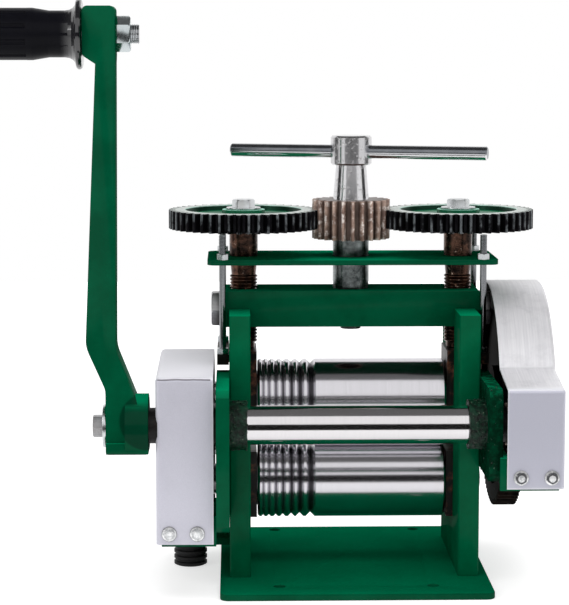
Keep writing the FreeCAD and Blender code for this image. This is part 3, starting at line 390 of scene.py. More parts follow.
# %% Right cover
def right_cover_paint():
    finish = Finish("right_cover_paint")
    low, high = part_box("right_cover")
    x, _, z = finish.axes()
    grain = finish.noise(scale=2600.0, detail=2.0, roughness=0.6)
    brush = finish.noise(scale=1.0, detail=4.0, roughness=0.65,
                         vector=finish.stretched(900.0, 26.0, 26.0))
    blots = finish.noise(scale=55.0, detail=5.0, roughness=0.7).ramp(0.48, 0.75)
    fold_z = low.z + front_fold_height
    rolled_z = fold_z + slant_height
    drum = z.ramp(fold_z, fold_z + 0.6 * MM)
    plain = finish.mix(grain, linear(184, 184, 198), linear(201, 201, 214))
    bright = finish.mix(brush, linear(210, 209, 214), linear(250, 249, 251))
    bright = finish.mix(blots * 0.35, bright, linear(182, 181, 186))
    paint = finish.mix(drum, plain, bright)
    # Painted highlight: bright lines along the folds, down the sides and along the low edge.
    fold_highlight = band(z, fold_z - 0.6 * MM, fold_z + 0.7 * MM)
    fold_highlight = fold_highlight + band(z, rolled_z, rolled_z + 0.9 * MM)
    sides = band(x, low.x + 0.8 * MM, high.x - 0.8 * MM, 0.5 * MM)
    bright_edge = 1 - sides * z.ramp(low.z, low.z + 1.4 * MM)
    highlight_lines = (bright_edge + fold_highlight).math("MINIMUM", 1.0)
    paint = finish.mix(highlight_lines * 0.6, paint, linear(236, 236, 239))
    inside = inside_of(finish, low, high)
    paint = finish.mix(inside, paint, dark_inside)
    waves, relief = sheet_relief(finish, grain)
    finish.set("Metallic", (drum * 0.35 + 0.25) * (1 - inside))
    return finish.surface(paint, waves * 0.12 + brush * drum * 0.12 + 0.3,
                          finish.bump(brush * drum, 0.1 * MM, 0.5, relief))


front_fold_height, slant_height = 55.3 * MM, 6.0 * MM
right_paint = right_cover_paint()
print("front fold", round(front_fold_height / MM, 1), "mm above the right cover's low edge")

# %% [markdown]
# The rods are ground all over, so one plain ground steel does for them.  A roll is polished on
# its barrel and darker and duller in its grooves, which the distance from its axis tells apart.


# %% Ground rods and rolls
def ground_steel(name, colour, rough, fine, axis):
    """Steel ground in a lathe, with its marks round an axis."""
    finish = Finish(name, Metallic=1.0)
    rings = turning_marks(finish, axis, fine)
    patches = finish.noise(scale=30.0, detail=3.0, roughness=0.55)
    dull = tuple(channel * 0.8 for channel in colour[:3]) + (1.0,)
    return finish.surface(finish.mix(rings * 0.5, colour, dull),
                          rings * 0.07 + patches * 0.05 + rough,
                          finish.bump(rings, 0.02 * MM, 0.3))


def roll_finish(node):
    finish = Finish(node + "_finish", Metallic=1.0)
    low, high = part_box(node)
    barrel_r = (high.y - low.y) / 2
    _, y, z = finish.axes()
    out = radius_about(y, z, (low.y + high.y) / 2, (low.z + high.z) / 2)
    sunk = 1 - out.ramp(barrel_r - roll_groove_depth, barrel_r - 0.2 * MM)
    rings = turning_marks(finish, "X", 1500.0)
    patches = finish.noise(scale=30.0, detail=3.0, roughness=0.55)
    steel = finish.mix(rings * 0.5, linear(220, 218, 223), linear(196, 194, 198))
    return finish.surface(finish.mix(sunk * 0.8, steel, linear(84, 82, 86)),
                          rings * 0.07 + patches * 0.05 + sunk * 0.1 + 0.1,
                          finish.bump(rings, 0.02 * MM, 0.3))


roll_groove_depth = 1.8 * MM
rod_steel = ground_steel("rod_steel", linear(140, 142, 145), 0.08, 900.0, "Z")
bright_plate = ground_steel("bright_plate", linear(206, 214, 216), 0.10, 900.0, "X")
upper_roll_steel, lower_roll_steel = roll_finish("upper_roll"), roll_finish("lower_roll")
print("rolls are dull", round(roll_groove_depth / MM, 1), "mm deep")

# %% [markdown]
# The crankshaft is ground between its bearings and black with grease outside them.  Two ramps
# along X share it between steel and grease, and the same share switches the metal off.


# %% Crankshaft
def crank_steel():
    finish = Finish("crank_steel")
    rings = turning_marks(finish, "X", 1100.0)
    lumps = finish.noise(scale=260.0, detail=4.0, roughness=0.6)
    bare = band(finish.axes()[0], crank_bare_from_x, crank_bare_to_x, 2.0 * MM)
    steel = finish.mix(rings * 0.5, linear(232, 229, 231), linear(208, 206, 208))
    grease = finish.mix(lumps.ramp(0.5, 0.75), linear(7, 5, 5), linear(44, 28, 22))
    finish.set("Metallic", bare)
    return finish.surface(finish.mix(bare, grease, steel),
                          rings * 0.07 + (1 - bare) * 0.4 + 0.09,
                          finish.bump(lumps * (1 - bare), 0.5 * MM, 0.6))


crank_bare_from_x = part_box("side_frame_left")[0].x
crank_bare_to_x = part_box("lug_plate_right")[0].x
crankshaft_steel = crank_steel()
print("crankshaft bare for", round((crank_bare_to_x - crank_bare_from_x) / MM), "mm")

# %% [markdown]
# The handle shaft is plated above its pinion, dark with oil below it and black on its greasy end.
# The tee bar is tarnished along its upper side and rubbed bright underneath, where fingers pull
# it, so that finish goes by which way the surface faces.


# %% Handle shaft and tee bar
def handle_steel():
    finish = Finish("handle_steel", Metallic=1.0)
    rings = turning_marks(finish, "Z", 900.0)
    pits = finish.noise(scale=420.0, detail=4.0, roughness=0.7).ramp(0.56, 0.66)
    patches = finish.noise(scale=60.0, detail=4.0, roughness=0.6)
    oily = 1 - finish.axes()[2].ramp(shaft_oily_below_z - 1.0 * MM, shaft_oily_below_z)
    plated = finish.mix(rings * 0.5, linear(222, 221, 223), linear(200, 199, 201))
    plated = finish.mix(pits * 0.4, plated, linear(150, 144, 142))
    oiled = finish.mix(patches.ramp(0.36, 0.64), linear(40, 47, 47), linear(150, 156, 156))
    end = (finish.facing()[2] * -1).ramp(0.6, 0.9)
    oiled = finish.mix(end, oiled, linear(16, 13, 11))
    return finish.surface(finish.mix(oily, plated, oiled),
                          rings * 0.07 + patches * 0.08 + oily * 0.06 + 0.1,
                          finish.bump(pits, 0.06 * MM, 0.5))


def tee_steel():
    finish = Finish("tee_steel", Metallic=1.0)
    rings = turning_marks(finish, "X", 900.0)
    stains = finish.noise(scale=120.0, detail=5.0, roughness=0.65)
    facing_z = finish.facing()[2]
    tarnished = facing_z.ramp(-0.3, 0.02) * (1 - facing_z.ramp(0.72, 0.95) * 0.7)
    bright = finish.mix(rings * 0.5, linear(232, 232, 234), linear(206, 206, 208))
    dull = finish.mix(stains, linear(92, 96, 102), linear(142, 144, 148))
    return finish.surface(finish.mix(tarnished, bright, dull),
                          rings * 0.07 + stains * tarnished * 0.14 + 0.08,
                          finish.bump(rings, 0.02 * MM, 0.3))


shaft_oily_below_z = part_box("center_pinion")[0].z
shaft_steel, bar_steel = handle_steel(), tee_steel()
print("shaft oily below z", round(shaft_oily_below_z, 4))

# %% [markdown]
# Fasteners are zinc plated: pale grey crystals with grime between them.  The screws of the covers
# stand on washers, and dark rings of painted shade lie where each head, washer and sheet meet.
# The rings could be thin rings of geometry, but they have no thickness on the real screws.


# %% Zinc plate and cover screws
def zinc_plate():
    finish = Finish("zinc_plate", Metallic=1.0)
    spangle = finish.noise(scale=140.0, detail=3.0, roughness=0.6)
    grime = finish.noise(scale=90.0, detail=4.0, roughness=0.6).ramp(0.55, 0.8)
    metal = finish.mix(spangle, linear(198, 202, 204), linear(226, 228, 230))
    return finish.surface(finish.mix(grime * 0.3, metal, linear(140, 134, 124)),
                          spangle * 0.08 + 0.24, finish.bump(spangle, 0.03 * MM, 0.2))


def cover_screw_plate(node, ring_shade, rim_shade):
    """Bright washers and heads, with dark rings of painted shade between them and round them."""
    finish = Finish(node + "_plate", Metallic=0.6)
    low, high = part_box(node)
    washer_r = (high.z - low.z) / 2
    x, _, z = finish.axes()
    left_out, right_out = (radius_about(x, z, centre_x, low.z + washer_r)
                           for centre_x in (low.x + washer_r, high.x - washer_r))
    out = left_out.math("MINIMUM", right_out)
    spangle = finish.noise(scale=420.0, detail=4.0, roughness=0.65)
    metal = finish.mix(spangle.ramp(0.4, 0.6), linear(206, 208, 210), linear(252, 252, 253))
    # Painted shade: a dark ring where each head meets its washer.
    shade_ring = band(out + (spangle - 0.5) * MM, washer_r * 0.5, washer_r * 0.7, 0.3 * MM)
    # Painted shade: a dark ring round each washer where it meets the sheet.
    edge = out.ramp(washer_r - 0.35 * MM, washer_r - 0.1 * MM)
    metal = finish.mix(shade_ring * ring_shade, metal, linear(52, 52, 56))
    metal = finish.mix(edge * rim_shade, metal, linear(84, 82, 86))
    return finish.surface(metal, spangle * 0.12 + shade_ring * 0.1 + 0.26,
                          finish.bump(spangle, 0.1 * MM, 0.4))


zinc = zinc_plate()
left_screw_plate = cover_screw_plate("left_cover_screws", ring_shade=0.2, rim_shade=0.8)
right_screw_plate = cover_screw_plate("right_cover_screws", ring_shade=0.9, rim_shade=0.4)
print("plated:", zinc.name, left_screw_plate.name, right_screw_plate.name)

# %% [markdown]
# Bolts and washers that were machined and never plated are a duller grey, with fine cuts and
# stains from handling.  The blocks that carry the rolls are black with old oil, and rust shows
# through it.  Bushes are bronze, a soft metal that lets a hard shaft run in it.


# %% Machined steel, oily blocks and bronze
def machined_steel():
    finish = Finish("machined_steel", Metallic=1.0)
    cuts = finish.noise(scale=1.0, detail=2.0, roughness=0.5,
                        vector=finish.stretched(40.0, 40.0, 1600.0))
    stain = finish.noise(scale=45.0, detail=5.0, roughness=0.65).ramp(0.45, 0.75)
    metal = finish.mix(cuts, linear(150, 150, 152), linear(182, 182, 184))
    return finish.surface(finish.mix(stain * 0.6, metal, linear(104, 92, 82)),
                          cuts * 0.18 + 0.28, finish.bump(cuts, 0.04 * MM, 0.4))


def oily_block():
    finish = Finish("oily_block", Specular_IOR_Level=0.25)
    film = finish.noise(scale=60.0, detail=4.0, roughness=0.6)
    rust = finish.noise(scale=140.0, detail=5.0, roughness=0.7).ramp(0.5, 0.68)
    oil = finish.mix(film, linear(5, 5, 5), linear(18, 13, 10))
    return finish.surface(finish.mix(rust * 0.7, oil, linear(112, 68, 50)),
                          film * 0.3 + 0.25, finish.bump(rust, 0.12 * MM, 0.6))


def bronze_metal():
    finish = Finish("bronze", Metallic=1.0)
    tone = finish.noise(scale=150.0, detail=4.0, roughness=0.6)
    return finish.surface(finish.mix(tone, linear(140, 116, 84), linear(190, 168, 128)),
                          tone * 0.2 + 0.25, finish.bump(tone, 0.06 * MM, 0.4))


machined, block_oil, bronze = machined_steel(), oily_block(), bronze_metal()
print("made:", machined.name, block_oil.name, bronze.name)

# %% [markdown]
# Grease has crept out of the crankshaft's bearings and over the rings round it.  It is lumpy and
# wet, so it gets a strong relief and small painted glints in its colour.


# %% Greasy bearing rings
def greasy_ring():
    finish = Finish("greasy_ring", Specular_IOR_Level=0.3)
    lumps = finish.noise(scale=320.0, detail=4.0, roughness=0.65)
    # Painted glints: pale specks in the wet grease.
    painted_glints = finish.noise(scale=620.0, detail=3.0, roughness=0.7).ramp(0.63, 0.7)
    grease = finish.mix(lumps.ramp(0.35, 0.65), linear(7, 14, 10), linear(6, 46, 30))
    return finish.surface(finish.mix(painted_glints * 0.5, grease, linear(120, 130, 112)),
                          lumps * 0.3 + 0.2, finish.bump(lumps, 1.2 * MM, 0.8))


grease_ring = greasy_ring()
print("made:", grease_ring.name)

# %% [markdown]
# The pressure screws and their sleeves were left raw and oiled, so they have gone brown in
# patches, with bright spots that are partly rubbed metal and partly painted highlight.  The drive
# gears and the nuts beside them get a much darker copy of the same iron, as painted shade for the
# dark under their covers, so one function makes both with other measures.


# %% Oiled brown steel
def oiled_steel(name, dark, brown, bright, bright_share, metallic, gloss, rough, relief):
    finish = Finish(name, Metallic=metallic, Specular_IOR_Level=gloss)
    patches = finish.noise(scale=120.0, detail=5.0, roughness=0.65)
    rubbed_and_glint = finish.noise(scale=300.0, detail=4.0, roughness=0.6).ramp(0.6, 0.74)
    metal = finish.mix(patches.ramp(0.38, 0.66), dark, brown)
    # The bright spots are partly rubbed metal and partly painted highlight.
    return finish.surface(finish.mix(rubbed_and_glint * bright_share, metal, bright),
                          patches * 0.25 + rough, finish.bump(patches, relief, 0.6))


screw_steel = oiled_steel("screw_steel", dark=linear(34, 24, 20), brown=linear(104, 74, 60),
                          bright=linear(226, 196, 178), bright_share=0.9, metallic=0.85,
                          gloss=0.5, rough=0.1, relief=0.6 * MM)
# A much darker copy of the oiled iron, as painted shade for the dark under the covers.
shaded_drive_iron = oiled_steel("shaded_drive_iron", dark=linear(10, 9, 9), brown=linear(34, 27, 23),
                         bright=linear(110, 94, 82), bright_share=0.35, metallic=0.1,
                         gloss=0.0, rough=0.22, relief=0.15 * MM)
print("made:", screw_steel.name, shaded_drive_iron.name)

# %% [markdown]
# A pinion's teeth are brown and oiled, with painted shade between them and bright tips that are
# partly rubbed metal and partly painted highlight.  How far a point is from the axis says where on
# a tooth it is, so no tooth is painted by itself.


# %% Pinions
def pinion(name, axis, centre_y, centre_z, root_r, tip_r):
    finish = Finish(name, Metallic=0.4)
    x, y, z = finish.axes()
    if axis == "X":
        out = radius_about(y, z, centre_y, centre_z)
    else:
        out = radius_about(x, y, 0.0, 0.0)
    high = out.ramp(root_r, tip_r)
    patches = finish.noise(scale=140.0, detail=5.0, roughness=0.65)
    rubbed_and_glint = finish.noise(scale=260.0, detail=4.0, roughness=0.65).ramp(0.5, 0.66)
    metal = finish.mix(patches.ramp(0.36, 0.66), linear(122, 98, 88), linear(178, 152, 138))
    # Painted shade: the teeth are darker towards their roots.
    metal = finish.mix((1 - high) * 0.85, metal, linear(56, 42, 36))
    # Painted highlight, partly rubbed metal: bright patches on the tips.
    metal = finish.mix(high * rubbed_and_glint * 0.8, metal, linear(240, 232, 226))
    return finish.surface(metal, patches * 0.2 + 0.26, finish.bump(patches, 0.15 * MM, 0.5))


def pinion_radii(node, across, tooth_depth):
    """Root and tip radius, from the node's box across its axis and the depth of its teeth."""
    low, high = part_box(node)
    tip_r = (high[across] - low[across]) / 2
    return tip_r - tooth_depth, tip_r


centre_radii = pinion_radii("center_pinion", 0, tooth_depth=3.6 * MM)
drive_radii = pinion_radii("drive_pinion", 2, tooth_depth=3.0 * MM)
centre_pinion_finish = pinion("centre_pinion_finish", "Z", 0, 0, *centre_radii)
drive_pinion_finish = pinion("drive_pinion_finish", "X", crank_y, crank_z, *drive_radii)
print("centre pinion's root and tip radius:", *(round(radius, 4) for radius in centre_radii))

# %% [markdown]
# An adjusting gear is one casting with three finishes.  Its teeth are blackened, with a painted
# highlight on their tips, the faced rim on top is bare, and the sunk web is painted green, with
# thin bright lips where paint meets metal.
# It could be cut into three pieces, but one finish keeps the casting whole: it tells them apart
# by the distance from the gear's axis and by which way the surface faces.


# %% Adjusting gears
def adjusting_gear(side):
    finish = Finish("adjusting_gear_" + side, Specular_IOR_Level=0.1)
    box_low, box_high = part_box("screw_gear_" + side)
    tip_r = (box_high.x - box_low.x) / 2
    x, y, z = finish.axes()
    up = finish.facing()[2].ramp(0.6, 0.9)
    out = radius_about(x, y, (box_low.x + box_high.x) / 2, 0.0)
    grit = finish.noise(scale=500.0, detail=4.0, roughness=0.6)
    clouds = finish.noise(scale=60.0, detail=4.0, roughness=0.6)
    black = finish.mix(clouds, linear(9, 9, 12), linear(26, 25, 28))
    bare = finish.mix(grit, linear(176, 184, 180), linear(222, 228, 224))
    green = finish.mix(clouds, linear(3, 78, 50), linear(5, 92, 60))
    sunk = 1 - out.ramp(*web_edge)
    high = z.ramp(box_high.z - 0.6 * MM, box_high.z - 0.3 * MM)
    rim = up * high
    rubbed_and_glint = finish.noise(scale=130.0, detail=3.0, roughness=0.6).ramp(0.42, 0.62)
    # Painted highlight: pale patches on the tips of the teeth.
    tip_highlight = out.ramp(tip_r - 0.6 * MM, tip_r - 0.2 * MM) * rubbed_and_glint
    colour = finish.mix(tip_highlight * 0.5, black, linear(140, 146, 150))
    colour = finish.mix(rim, colour, bare)
    colour = finish.mix(sunk, colour, green)
    boss = out.ramp(*boss_lip_inner) * (1 - out.ramp(*boss_lip_outer)) * high * up
    colour = finish.mix(boss * 0.7, colour, linear(150, 210, 190))
    lip = band(out, *web_lip) * high
    colour = finish.mix(lip * 0.7, colour, linear(196, 236, 222))
    finish.set("Metallic", (1 - sunk) * 0.75)
    return finish.surface(colour, clouds * 0.16 + rim * 0.12 + 0.22,
                          finish.bump(grit, 0.1 * MM, 0.4))


web_edge, web_lip = (33.8 * MM, 34.1 * MM), (33.6 * MM, 34.3 * MM)
boss_lip_inner, boss_lip_outer = (10.5 * MM, 11.2 * MM), (12.8 * MM, 13.1 * MM)
gear_finish = {side: adjusting_gear(side) for side in ("left", "right")}
print("green web inside", round(web_edge[0] / MM, 1), "mm radius")

# %% [markdown]
# The grip is moulded plastic, matt where a hand wears it and still shiny on its flare.  The foot
# is rubber, which is matt all over and a little grey with dust.


# %% Black plastic and rubber
def grip_moulding():
    finish = Finish("grip_plastic", Specular_IOR_Level=0.08, Coat_Roughness=0.1, Coat_IOR=1.8)
    grain = finish.noise(scale=1400.0, detail=3.0, roughness=0.6)
    tone = finish.noise(scale=70.0, detail=3.0, roughness=0.6)
    flare_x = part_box("handle_grip")[1].x
    flare = finish.axes()[0].ramp(flare_x - 12.0 * MM, flare_x - 4.0 * MM)
    finish.set("Coat Weight", flare)
    return finish.surface(finish.mix(tone, linear(5, 5, 9), linear(12, 12, 18)),
                          tone * 0.12 + 0.3, finish.bump(grain * (1 - flare), 0.06 * MM, 0.4))


def rubber_moulding():
    finish = Finish("foot_rubber", Specular_IOR_Level=0.3)
    tone = finish.noise(scale=70.0, detail=3.0, roughness=0.6)
    grain = finish.noise(scale=1800.0, detail=3.0, roughness=0.6)
    shade = linear(14, 14, 15)
    dusty = tuple(channel * 1.8 for channel in shade[:3]) + (1.0,)
    return finish.surface(finish.mix(tone, shade, dusty),
                          tone * 0.12 + 0.5, finish.bump(grain, 0.08 * MM, 0.5))


grip_plastic, foot_rubber = grip_moulding(), rubber_moulding()
print("finishes:", len(bpy.data.materials))

# %% [markdown]
# ## Carried-over nodes
# Machined parts keep their construction mesh and only change material.  They could be painted one
# by one, but a table shows at a glance which parts share a finish, and the loop stops at a part
# that has none.

# %% Finish for each node
node_finish = {
    base_enamel: ["base_plate"],
    lit_frame_enamel: ["side_frame_left", "side_frame_right"],
    enamel: ["lug_plate_left", "bridge", "lifting_plate", "left_cover_bracket",
             "right_cover_bracket", "foot_bracket"],
    arm_enamel: ["crank_arm"],
    greasy_enamel: ["lug_plate_right"],
    left_paint: ["left_cover"],
    right_paint: ["right_cover"],
    upper_roll_steel: ["upper_roll"],
    lower_roll_steel: ["lower_roll"],
    crankshaft_steel: ["crankshaft"],
    bar_steel: ["tee_bar"],
    shaft_steel: ["handle_shaft"],
    rod_steel: ["lift_rods", "handle_spindle"],
    left_screw_plate: ["left_cover_screws"],
    right_screw_plate: ["right_cover_screws"],
    zinc: ["crank_washer", "gear_bolt_left", "gear_bolt_right", "lug_screws", "foot_stud",
           "lift_nuts"],
    bright_plate: ["handle_nut"],
    machined: ["crank_bolt", "bridge_end_bolts", "upper_thrust_washers",
               "lower_thrust_washers", "upper_roll_keys", "lower_roll_key"],
    block_oil: ["lower_block_left", "lower_block_right", "upper_block_left",
                "upper_block_right", "handle_circlip"],
    grease_ring: ["lug_bushes"],
    bronze: ["upper_roll_bushes", "lower_roll_bushes"],
    # Painted shade: the drive gears and the nuts near them take the dark copy of the oiled iron.
    shaded_drive_iron: ["drive_gear", "upper_coupling_gear", "lower_coupling_gear",
                 "drive_pinion_nut", "upper_roll_nuts", "lower_roll_nuts"],
    centre_pinion_finish: ["center_pinion"],
    drive_pinion_finish: ["drive_pinion"],
    screw_steel: ["pressure_screw_left", "pressure_screw_right", "screw_sleeve_left",
                  "screw_sleeve_right"],
    gear_finish["left"]: ["screw_gear_left"],
    gear_finish["right"]: ["screw_gear_right"],
    grip_plastic: ["handle_grip", "grip_cap"],
    foot_rubber: ["support_foot"],
}
finish_of = {node: material for material, members in node_finish.items() for node in members}
for node in nodes:
    slots = nodes[node].material_slots
    for slot in slots:
        slot.material = finish_of[node]
    if not slots:
        nodes[node].data.materials.append(finish_of[node])
print("painted", len(finish_of), "nodes with", len(node_finish), "finishes")

# %% [markdown]
# ## Rounded edges
# Paint and files leave no edge sharp, and an edge only catches the light if it has a width.  A
# shader can fake that with its normals, but then the outline stays sharp.  `dressed` copies a
# node, joins its loose triangles into real faces, rounds its hard edges with a Bevel modifier,
# and lets the copy stand for the node.


# %% Rounded copies
def merged_copy(node, name):
    """A copy of a node's mesh with its points joined and its flat faces made whole."""
    mesh = nodes[node].data.copy()
    mesh.name = name
    work = bmesh.new()
    work.from_mesh(mesh)
    bmesh.ops.remove_doubles(work, verts=work.verts, dist=weld_distance)
    bmesh.ops.dissolve_limit(work, angle_limit=math.radians(flat_within_degrees),
                             verts=work.verts, edges=work.edges)
    work.to_mesh(mesh)
    work.free()
    piece = bpy.data.objects.new(name, mesh)
    bpy.context.scene.collection.objects.link(piece)
    return piece


def settle(piece):
    """Turns a piece and its modifiers into a plain mesh."""
    graph = bpy.context.evaluated_depsgraph_get()
    mesh = bpy.data.meshes.new_from_object(piece.evaluated_get(graph))
    piece.modifiers.clear()
    piece.data = mesh
    return piece


def smooth_by_angle(piece, degrees):
    """Smooth faces, except across edges sharper than an angle."""
    work = bmesh.new()
    work.from_mesh(piece.data)
    limit = math.radians(degrees)
    for face in work.faces:
        face.smooth = True
    for edge in work.edges:
        edge.smooth = len(edge.link_faces) == 2 and edge.calc_face_angle(math.pi) < limit
    work.to_mesh(piece.data)
    work.free()


def dressed(node, width):
    piece = merged_copy(node, node + "_dressed")
    bevel = piece.modifiers.new("edges", "BEVEL")
    bevel.width = width
    bevel.segments = 2
    bevel.limit_method = "ANGLE"
    bevel.angle_limit = math.radians(rounded_from_degrees)
    bevel.use_clamp_overlap = True
    bevel.harden_normals = False
    settle(piece)
    smooth_by_angle(piece, sharp_from_degrees)
    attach(piece, body_of[node])
    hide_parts(node)


weld_distance = 0.002 * MM
flat_within_degrees, rounded_from_degrees, sharp_from_degrees = 0.5, 30.0, 32.0
rounded = {
    0.8 * MM: ["base_plate", "lifting_plate", "left_cover_bracket", "right_cover_bracket",
               "foot_bracket"],
    1.1 * MM: ["side_frame_left", "side_frame_right", "bridge", "lug_plate_left",
               "lug_plate_right"],
    1.4 * MM: ["crank_arm"],
    0.35 * MM: ["bridge_end_bolts", "gear_bolt_left", "gear_bolt_right", "crank_bolt",
                "handle_nut", "crank_washer"],
    0.22 * MM: ["screw_gear_left", "screw_gear_right", "center_pinion", "left_cover_screws",
                "right_cover_screws"],
}
for width, members in rounded.items():
    for node in members:
        dressed(node, width)
print("rounded:", sum(len(members) for members in rounded.values()), "pieces")

# %% [markdown]
# ## Repeated details by Geometry Nodes
# What repeats or follows a path is grown by a tree of nodes instead of being placed by hand, so
# its sizes stay numbers that can be changed.  `Tree` makes one with named inputs and ends it in
# Realize Instances and Set Material.  `grown` runs it and keeps the result as a plain mesh.


# %% Geometry Nodes helpers
class Tree:
    """A Geometry Nodes tree with named inputs."""

    def __init__(self, name, inputs):
        self.tree = bpy.data.node_groups.new(name, "GeometryNodeTree")
        self.socket("Geometry", "INPUT", "Geometry")
        for label, kind in inputs.items():
            self.socket(label, "INPUT", kind)
        self.socket("Geometry", "OUTPUT", "Geometry")
        self.entry = self.tree.nodes.new("NodeGroupInput")
        self.exit = self.tree.nodes.new("NodeGroupOutput")

    def socket(self, label, side, kind):
        self.tree.interface.new_socket(label, in_out=side, socket_type="NodeSocket" + kind)

    def node(self, kind, settings=None, values=None):
        return wire(self.tree, kind, settings, values)

    def given(self, label):
        return self.entry.outputs[label]

    def finish(self, geometry):
        """Ends the tree in Realize Instances and Set Material."""
        real = self.node("GeometryNodeRealizeInstances", {}, {"Geometry": geometry})
        coloured = self.node("GeometryNodeSetMaterial", {},
                             {"Geometry": real.outputs[0], "Material": self.given("Material")})
        feed(self.tree, self.exit.inputs["Geometry"], coloured.outputs[0])
        return self.tree


def grown(name, mesh, tree, values):
    """A plain mesh object made by a tree from a starting mesh."""
    piece = bpy.data.objects.new(name, mesh)
    bpy.context.scene.collection.objects.link(piece)
    modifier = piece.modifiers.new("tree", "NODES")
    modifier.node_group = tree
    for item in tree.interface.items_tree:
        if item.in_out == "INPUT" and item.name in values:
            modifier[item.identifier] = values[item.name]
    return settle(piece)


print("helpers:", Tree.__name__, "and", grown.__name__)

# %% [markdown]
# A thread is one ridge wound round a rod.  It could be cut into the rod, but a ridge laid on it
# looks the same at this size and leaves the rod alone.  The tree sweeps a small four-sided
# profile along a helix, with its normal held upright so that the ridge doesn't twist.


# %% Thread tree
def make_thread_tree():
    made = Tree("thread_tree", {"Radius": "Float", "Length": "Float", "Turns": "Float",
                                "Ridge": "Float", "Material": "Material"})
    helix = made.node("GeometryNodeCurveSpiral", {},
                      {"Resolution": thread_steps_a_turn, "Rotations": made.given("Turns"),
                       "Start Radius": made.given("Radius"), "End Radius": made.given("Radius"),
                       "Height": made.given("Length")})
    upright = made.node("GeometryNodeSetCurveNormal", {"mode": "Z_UP"},
                        {"Curve": helix.outputs[0]})
    ridge = made.node("GeometryNodeCurvePrimitiveCircle", {},
                      {"Resolution": ridge_sides, "Radius": made.given("Ridge")})
    swept = made.node("GeometryNodeCurveToMesh", {},
                      {"Curve": upright.outputs[0], "Profile Curve": ridge.outputs[0],
                       "Fill Caps": True})
    return made.finish(swept.outputs[0])


thread_steps_a_turn, ridge_sides = 24, 4
thread_tree = make_thread_tree()
print("thread tree:", len(thread_tree.nodes), "nodes")

# %% [markdown]
# Five threads show: one on the bolt through the grip, and one on the top of each rod that lifts
# the upper roll.  A tree grows along Z from the origin, so each result is turned and moved to its
# rod as a mesh, which leaves its object at the origin as the others are.


# %% Threads
def thread(name, rod, axis, low, high, centre, radius, pitch, material):
    """A thread round a rod from low to high along an axis, "X" or "Z"."""
    turns = round((high - low) / pitch)
    piece = grown(name, bpy.data.meshes.new(name), thread_tree,
                  {"Radius": radius, "Length": high - low, "Turns": float(turns),
                   "Ridge": pitch * 0.3, "Material": material})
    turn = Matrix.Rotation(math.radians(90), 4, "Y") if axis == "X" else Matrix.Identity(4)
    start = (low, *centre) if axis == "X" else (*centre, low)
    piece.data.transform(Matrix.Translation(start) @ turn)
    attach(piece, body_of[rod])


spindle_share_of_head, spindle_pitch = 5.0 / 8.5, 1.4 * MM
lift_rod_radius, lift_rod_pitch = 1.9 * MM, 0.8 * MM
thread_gap, bolt_chamfer, lift_nut_height = 0.4 * MM, 0.6 * MM, 3.4 * MM
spindle_low, spindle_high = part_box("handle_spindle")
spindle_centre = (spindle_low + spindle_high) / 2
thread("handle_bolt_thread", "handle_spindle", "X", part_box("handle_nut")[1].x + thread_gap,
       spindle_high.x - bolt_chamfer, (spindle_centre.y, spindle_centre.z),
       (spindle_high.y - spindle_centre.y) * spindle_share_of_head, spindle_pitch, zinc)
rods_low, rods_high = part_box("lift_rods")
plate_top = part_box("lifting_plate")[1].z
for side, x in (("left", rods_low.x + lift_rod_radius), ("right", rods_high.x - lift_rod_radius)):
    for place, y in (("front", rods_low.y + lift_rod_radius),
                     ("back", rods_high.y - lift_rod_radius)):
        thread("rod_thread_" + side + "_" + place, "lift_rods", "Z", plate_top + lift_nut_height,
               rods_high.z - thread_gap, (x, y), lift_rod_radius, lift_rod_pitch, rod_steel)

# %% [markdown]
# Old grease dries into crumbs that stick out of it.  Bump can't change an outline, so the tree
# scatters real crumbs over a surface, as small balls of many sizes.  It keeps only points that
# are far enough from the crankshaft's axis, so that none lies in the running gap.


# %% Crumb tree
def make_crumb_tree():
    made = Tree("crumb_tree", {"Density": "Float", "Crumb": "Float", "Keep Beyond": "Float",
                               "Axis": "Vector", "Seed": "Int", "Material": "Material"})
    position = made.node("GeometryNodeInputPosition")
    across = made.node("ShaderNodeVectorMath", {"operation": "MULTIPLY"},
                       {0: position.outputs[0], 1: (0.0, 1.0, 1.0)})
    offset = made.node("ShaderNodeVectorMath", {"operation": "DISTANCE"},
                       {0: across.outputs[0], 1: made.given("Axis")})
    outside = made.node("FunctionNodeCompare", {"operation": "GREATER_THAN"},
                        {0: offset.outputs["Value"], 1: made.given("Keep Beyond")})
    points = made.node("GeometryNodeDistributePointsOnFaces", {},
                       {"Mesh": made.given("Geometry"), "Selection": outside.outputs[0],
                        "Density": made.given("Density"), "Seed": made.given("Seed")})
    size = made.node("FunctionNodeRandomValue", {},
                     {2: smallest_crumb, 3: 1.0, "Seed": made.given("Seed")})
    crumb = made.node("GeometryNodeMeshIcoSphere", {},
                      {"Radius": made.given("Crumb"), "Subdivisions": 2})
    placed = made.node("GeometryNodeInstanceOnPoints", {},
                       {"Points": points.outputs[0], "Instance": crumb.outputs[0],
                        "Scale": size.outputs[1]})
    return made.finish(placed.outputs[0])


smallest_crumb = 0.35
crumb_tree = make_crumb_tree()
print("crumb tree:", len(crumb_tree.nodes), "nodes")

# %% [markdown]
# Crumbs lie thick on the rings round the crankshaft and thin on the lug beside the big gear.  Each
# place has its own fixed seed, so they fall in the same places on every run.


# %% Grease crumbs
def crumbs(node, density, size, seed):
    """Crumbs of grease on the faces of a node that are further from the crankshaft."""
    piece = grown(node + "_crumbs", nodes[node].data.copy(), crumb_tree,
                  {"Density": density, "Crumb": size, "Keep Beyond": crumbs_from_radius,
                   "Axis": (0.0, crank_y, crank_z), "Seed": seed, "Material": grease_ring})
    smooth_by_angle(piece, 80.0)
    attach(piece, body_of[node])


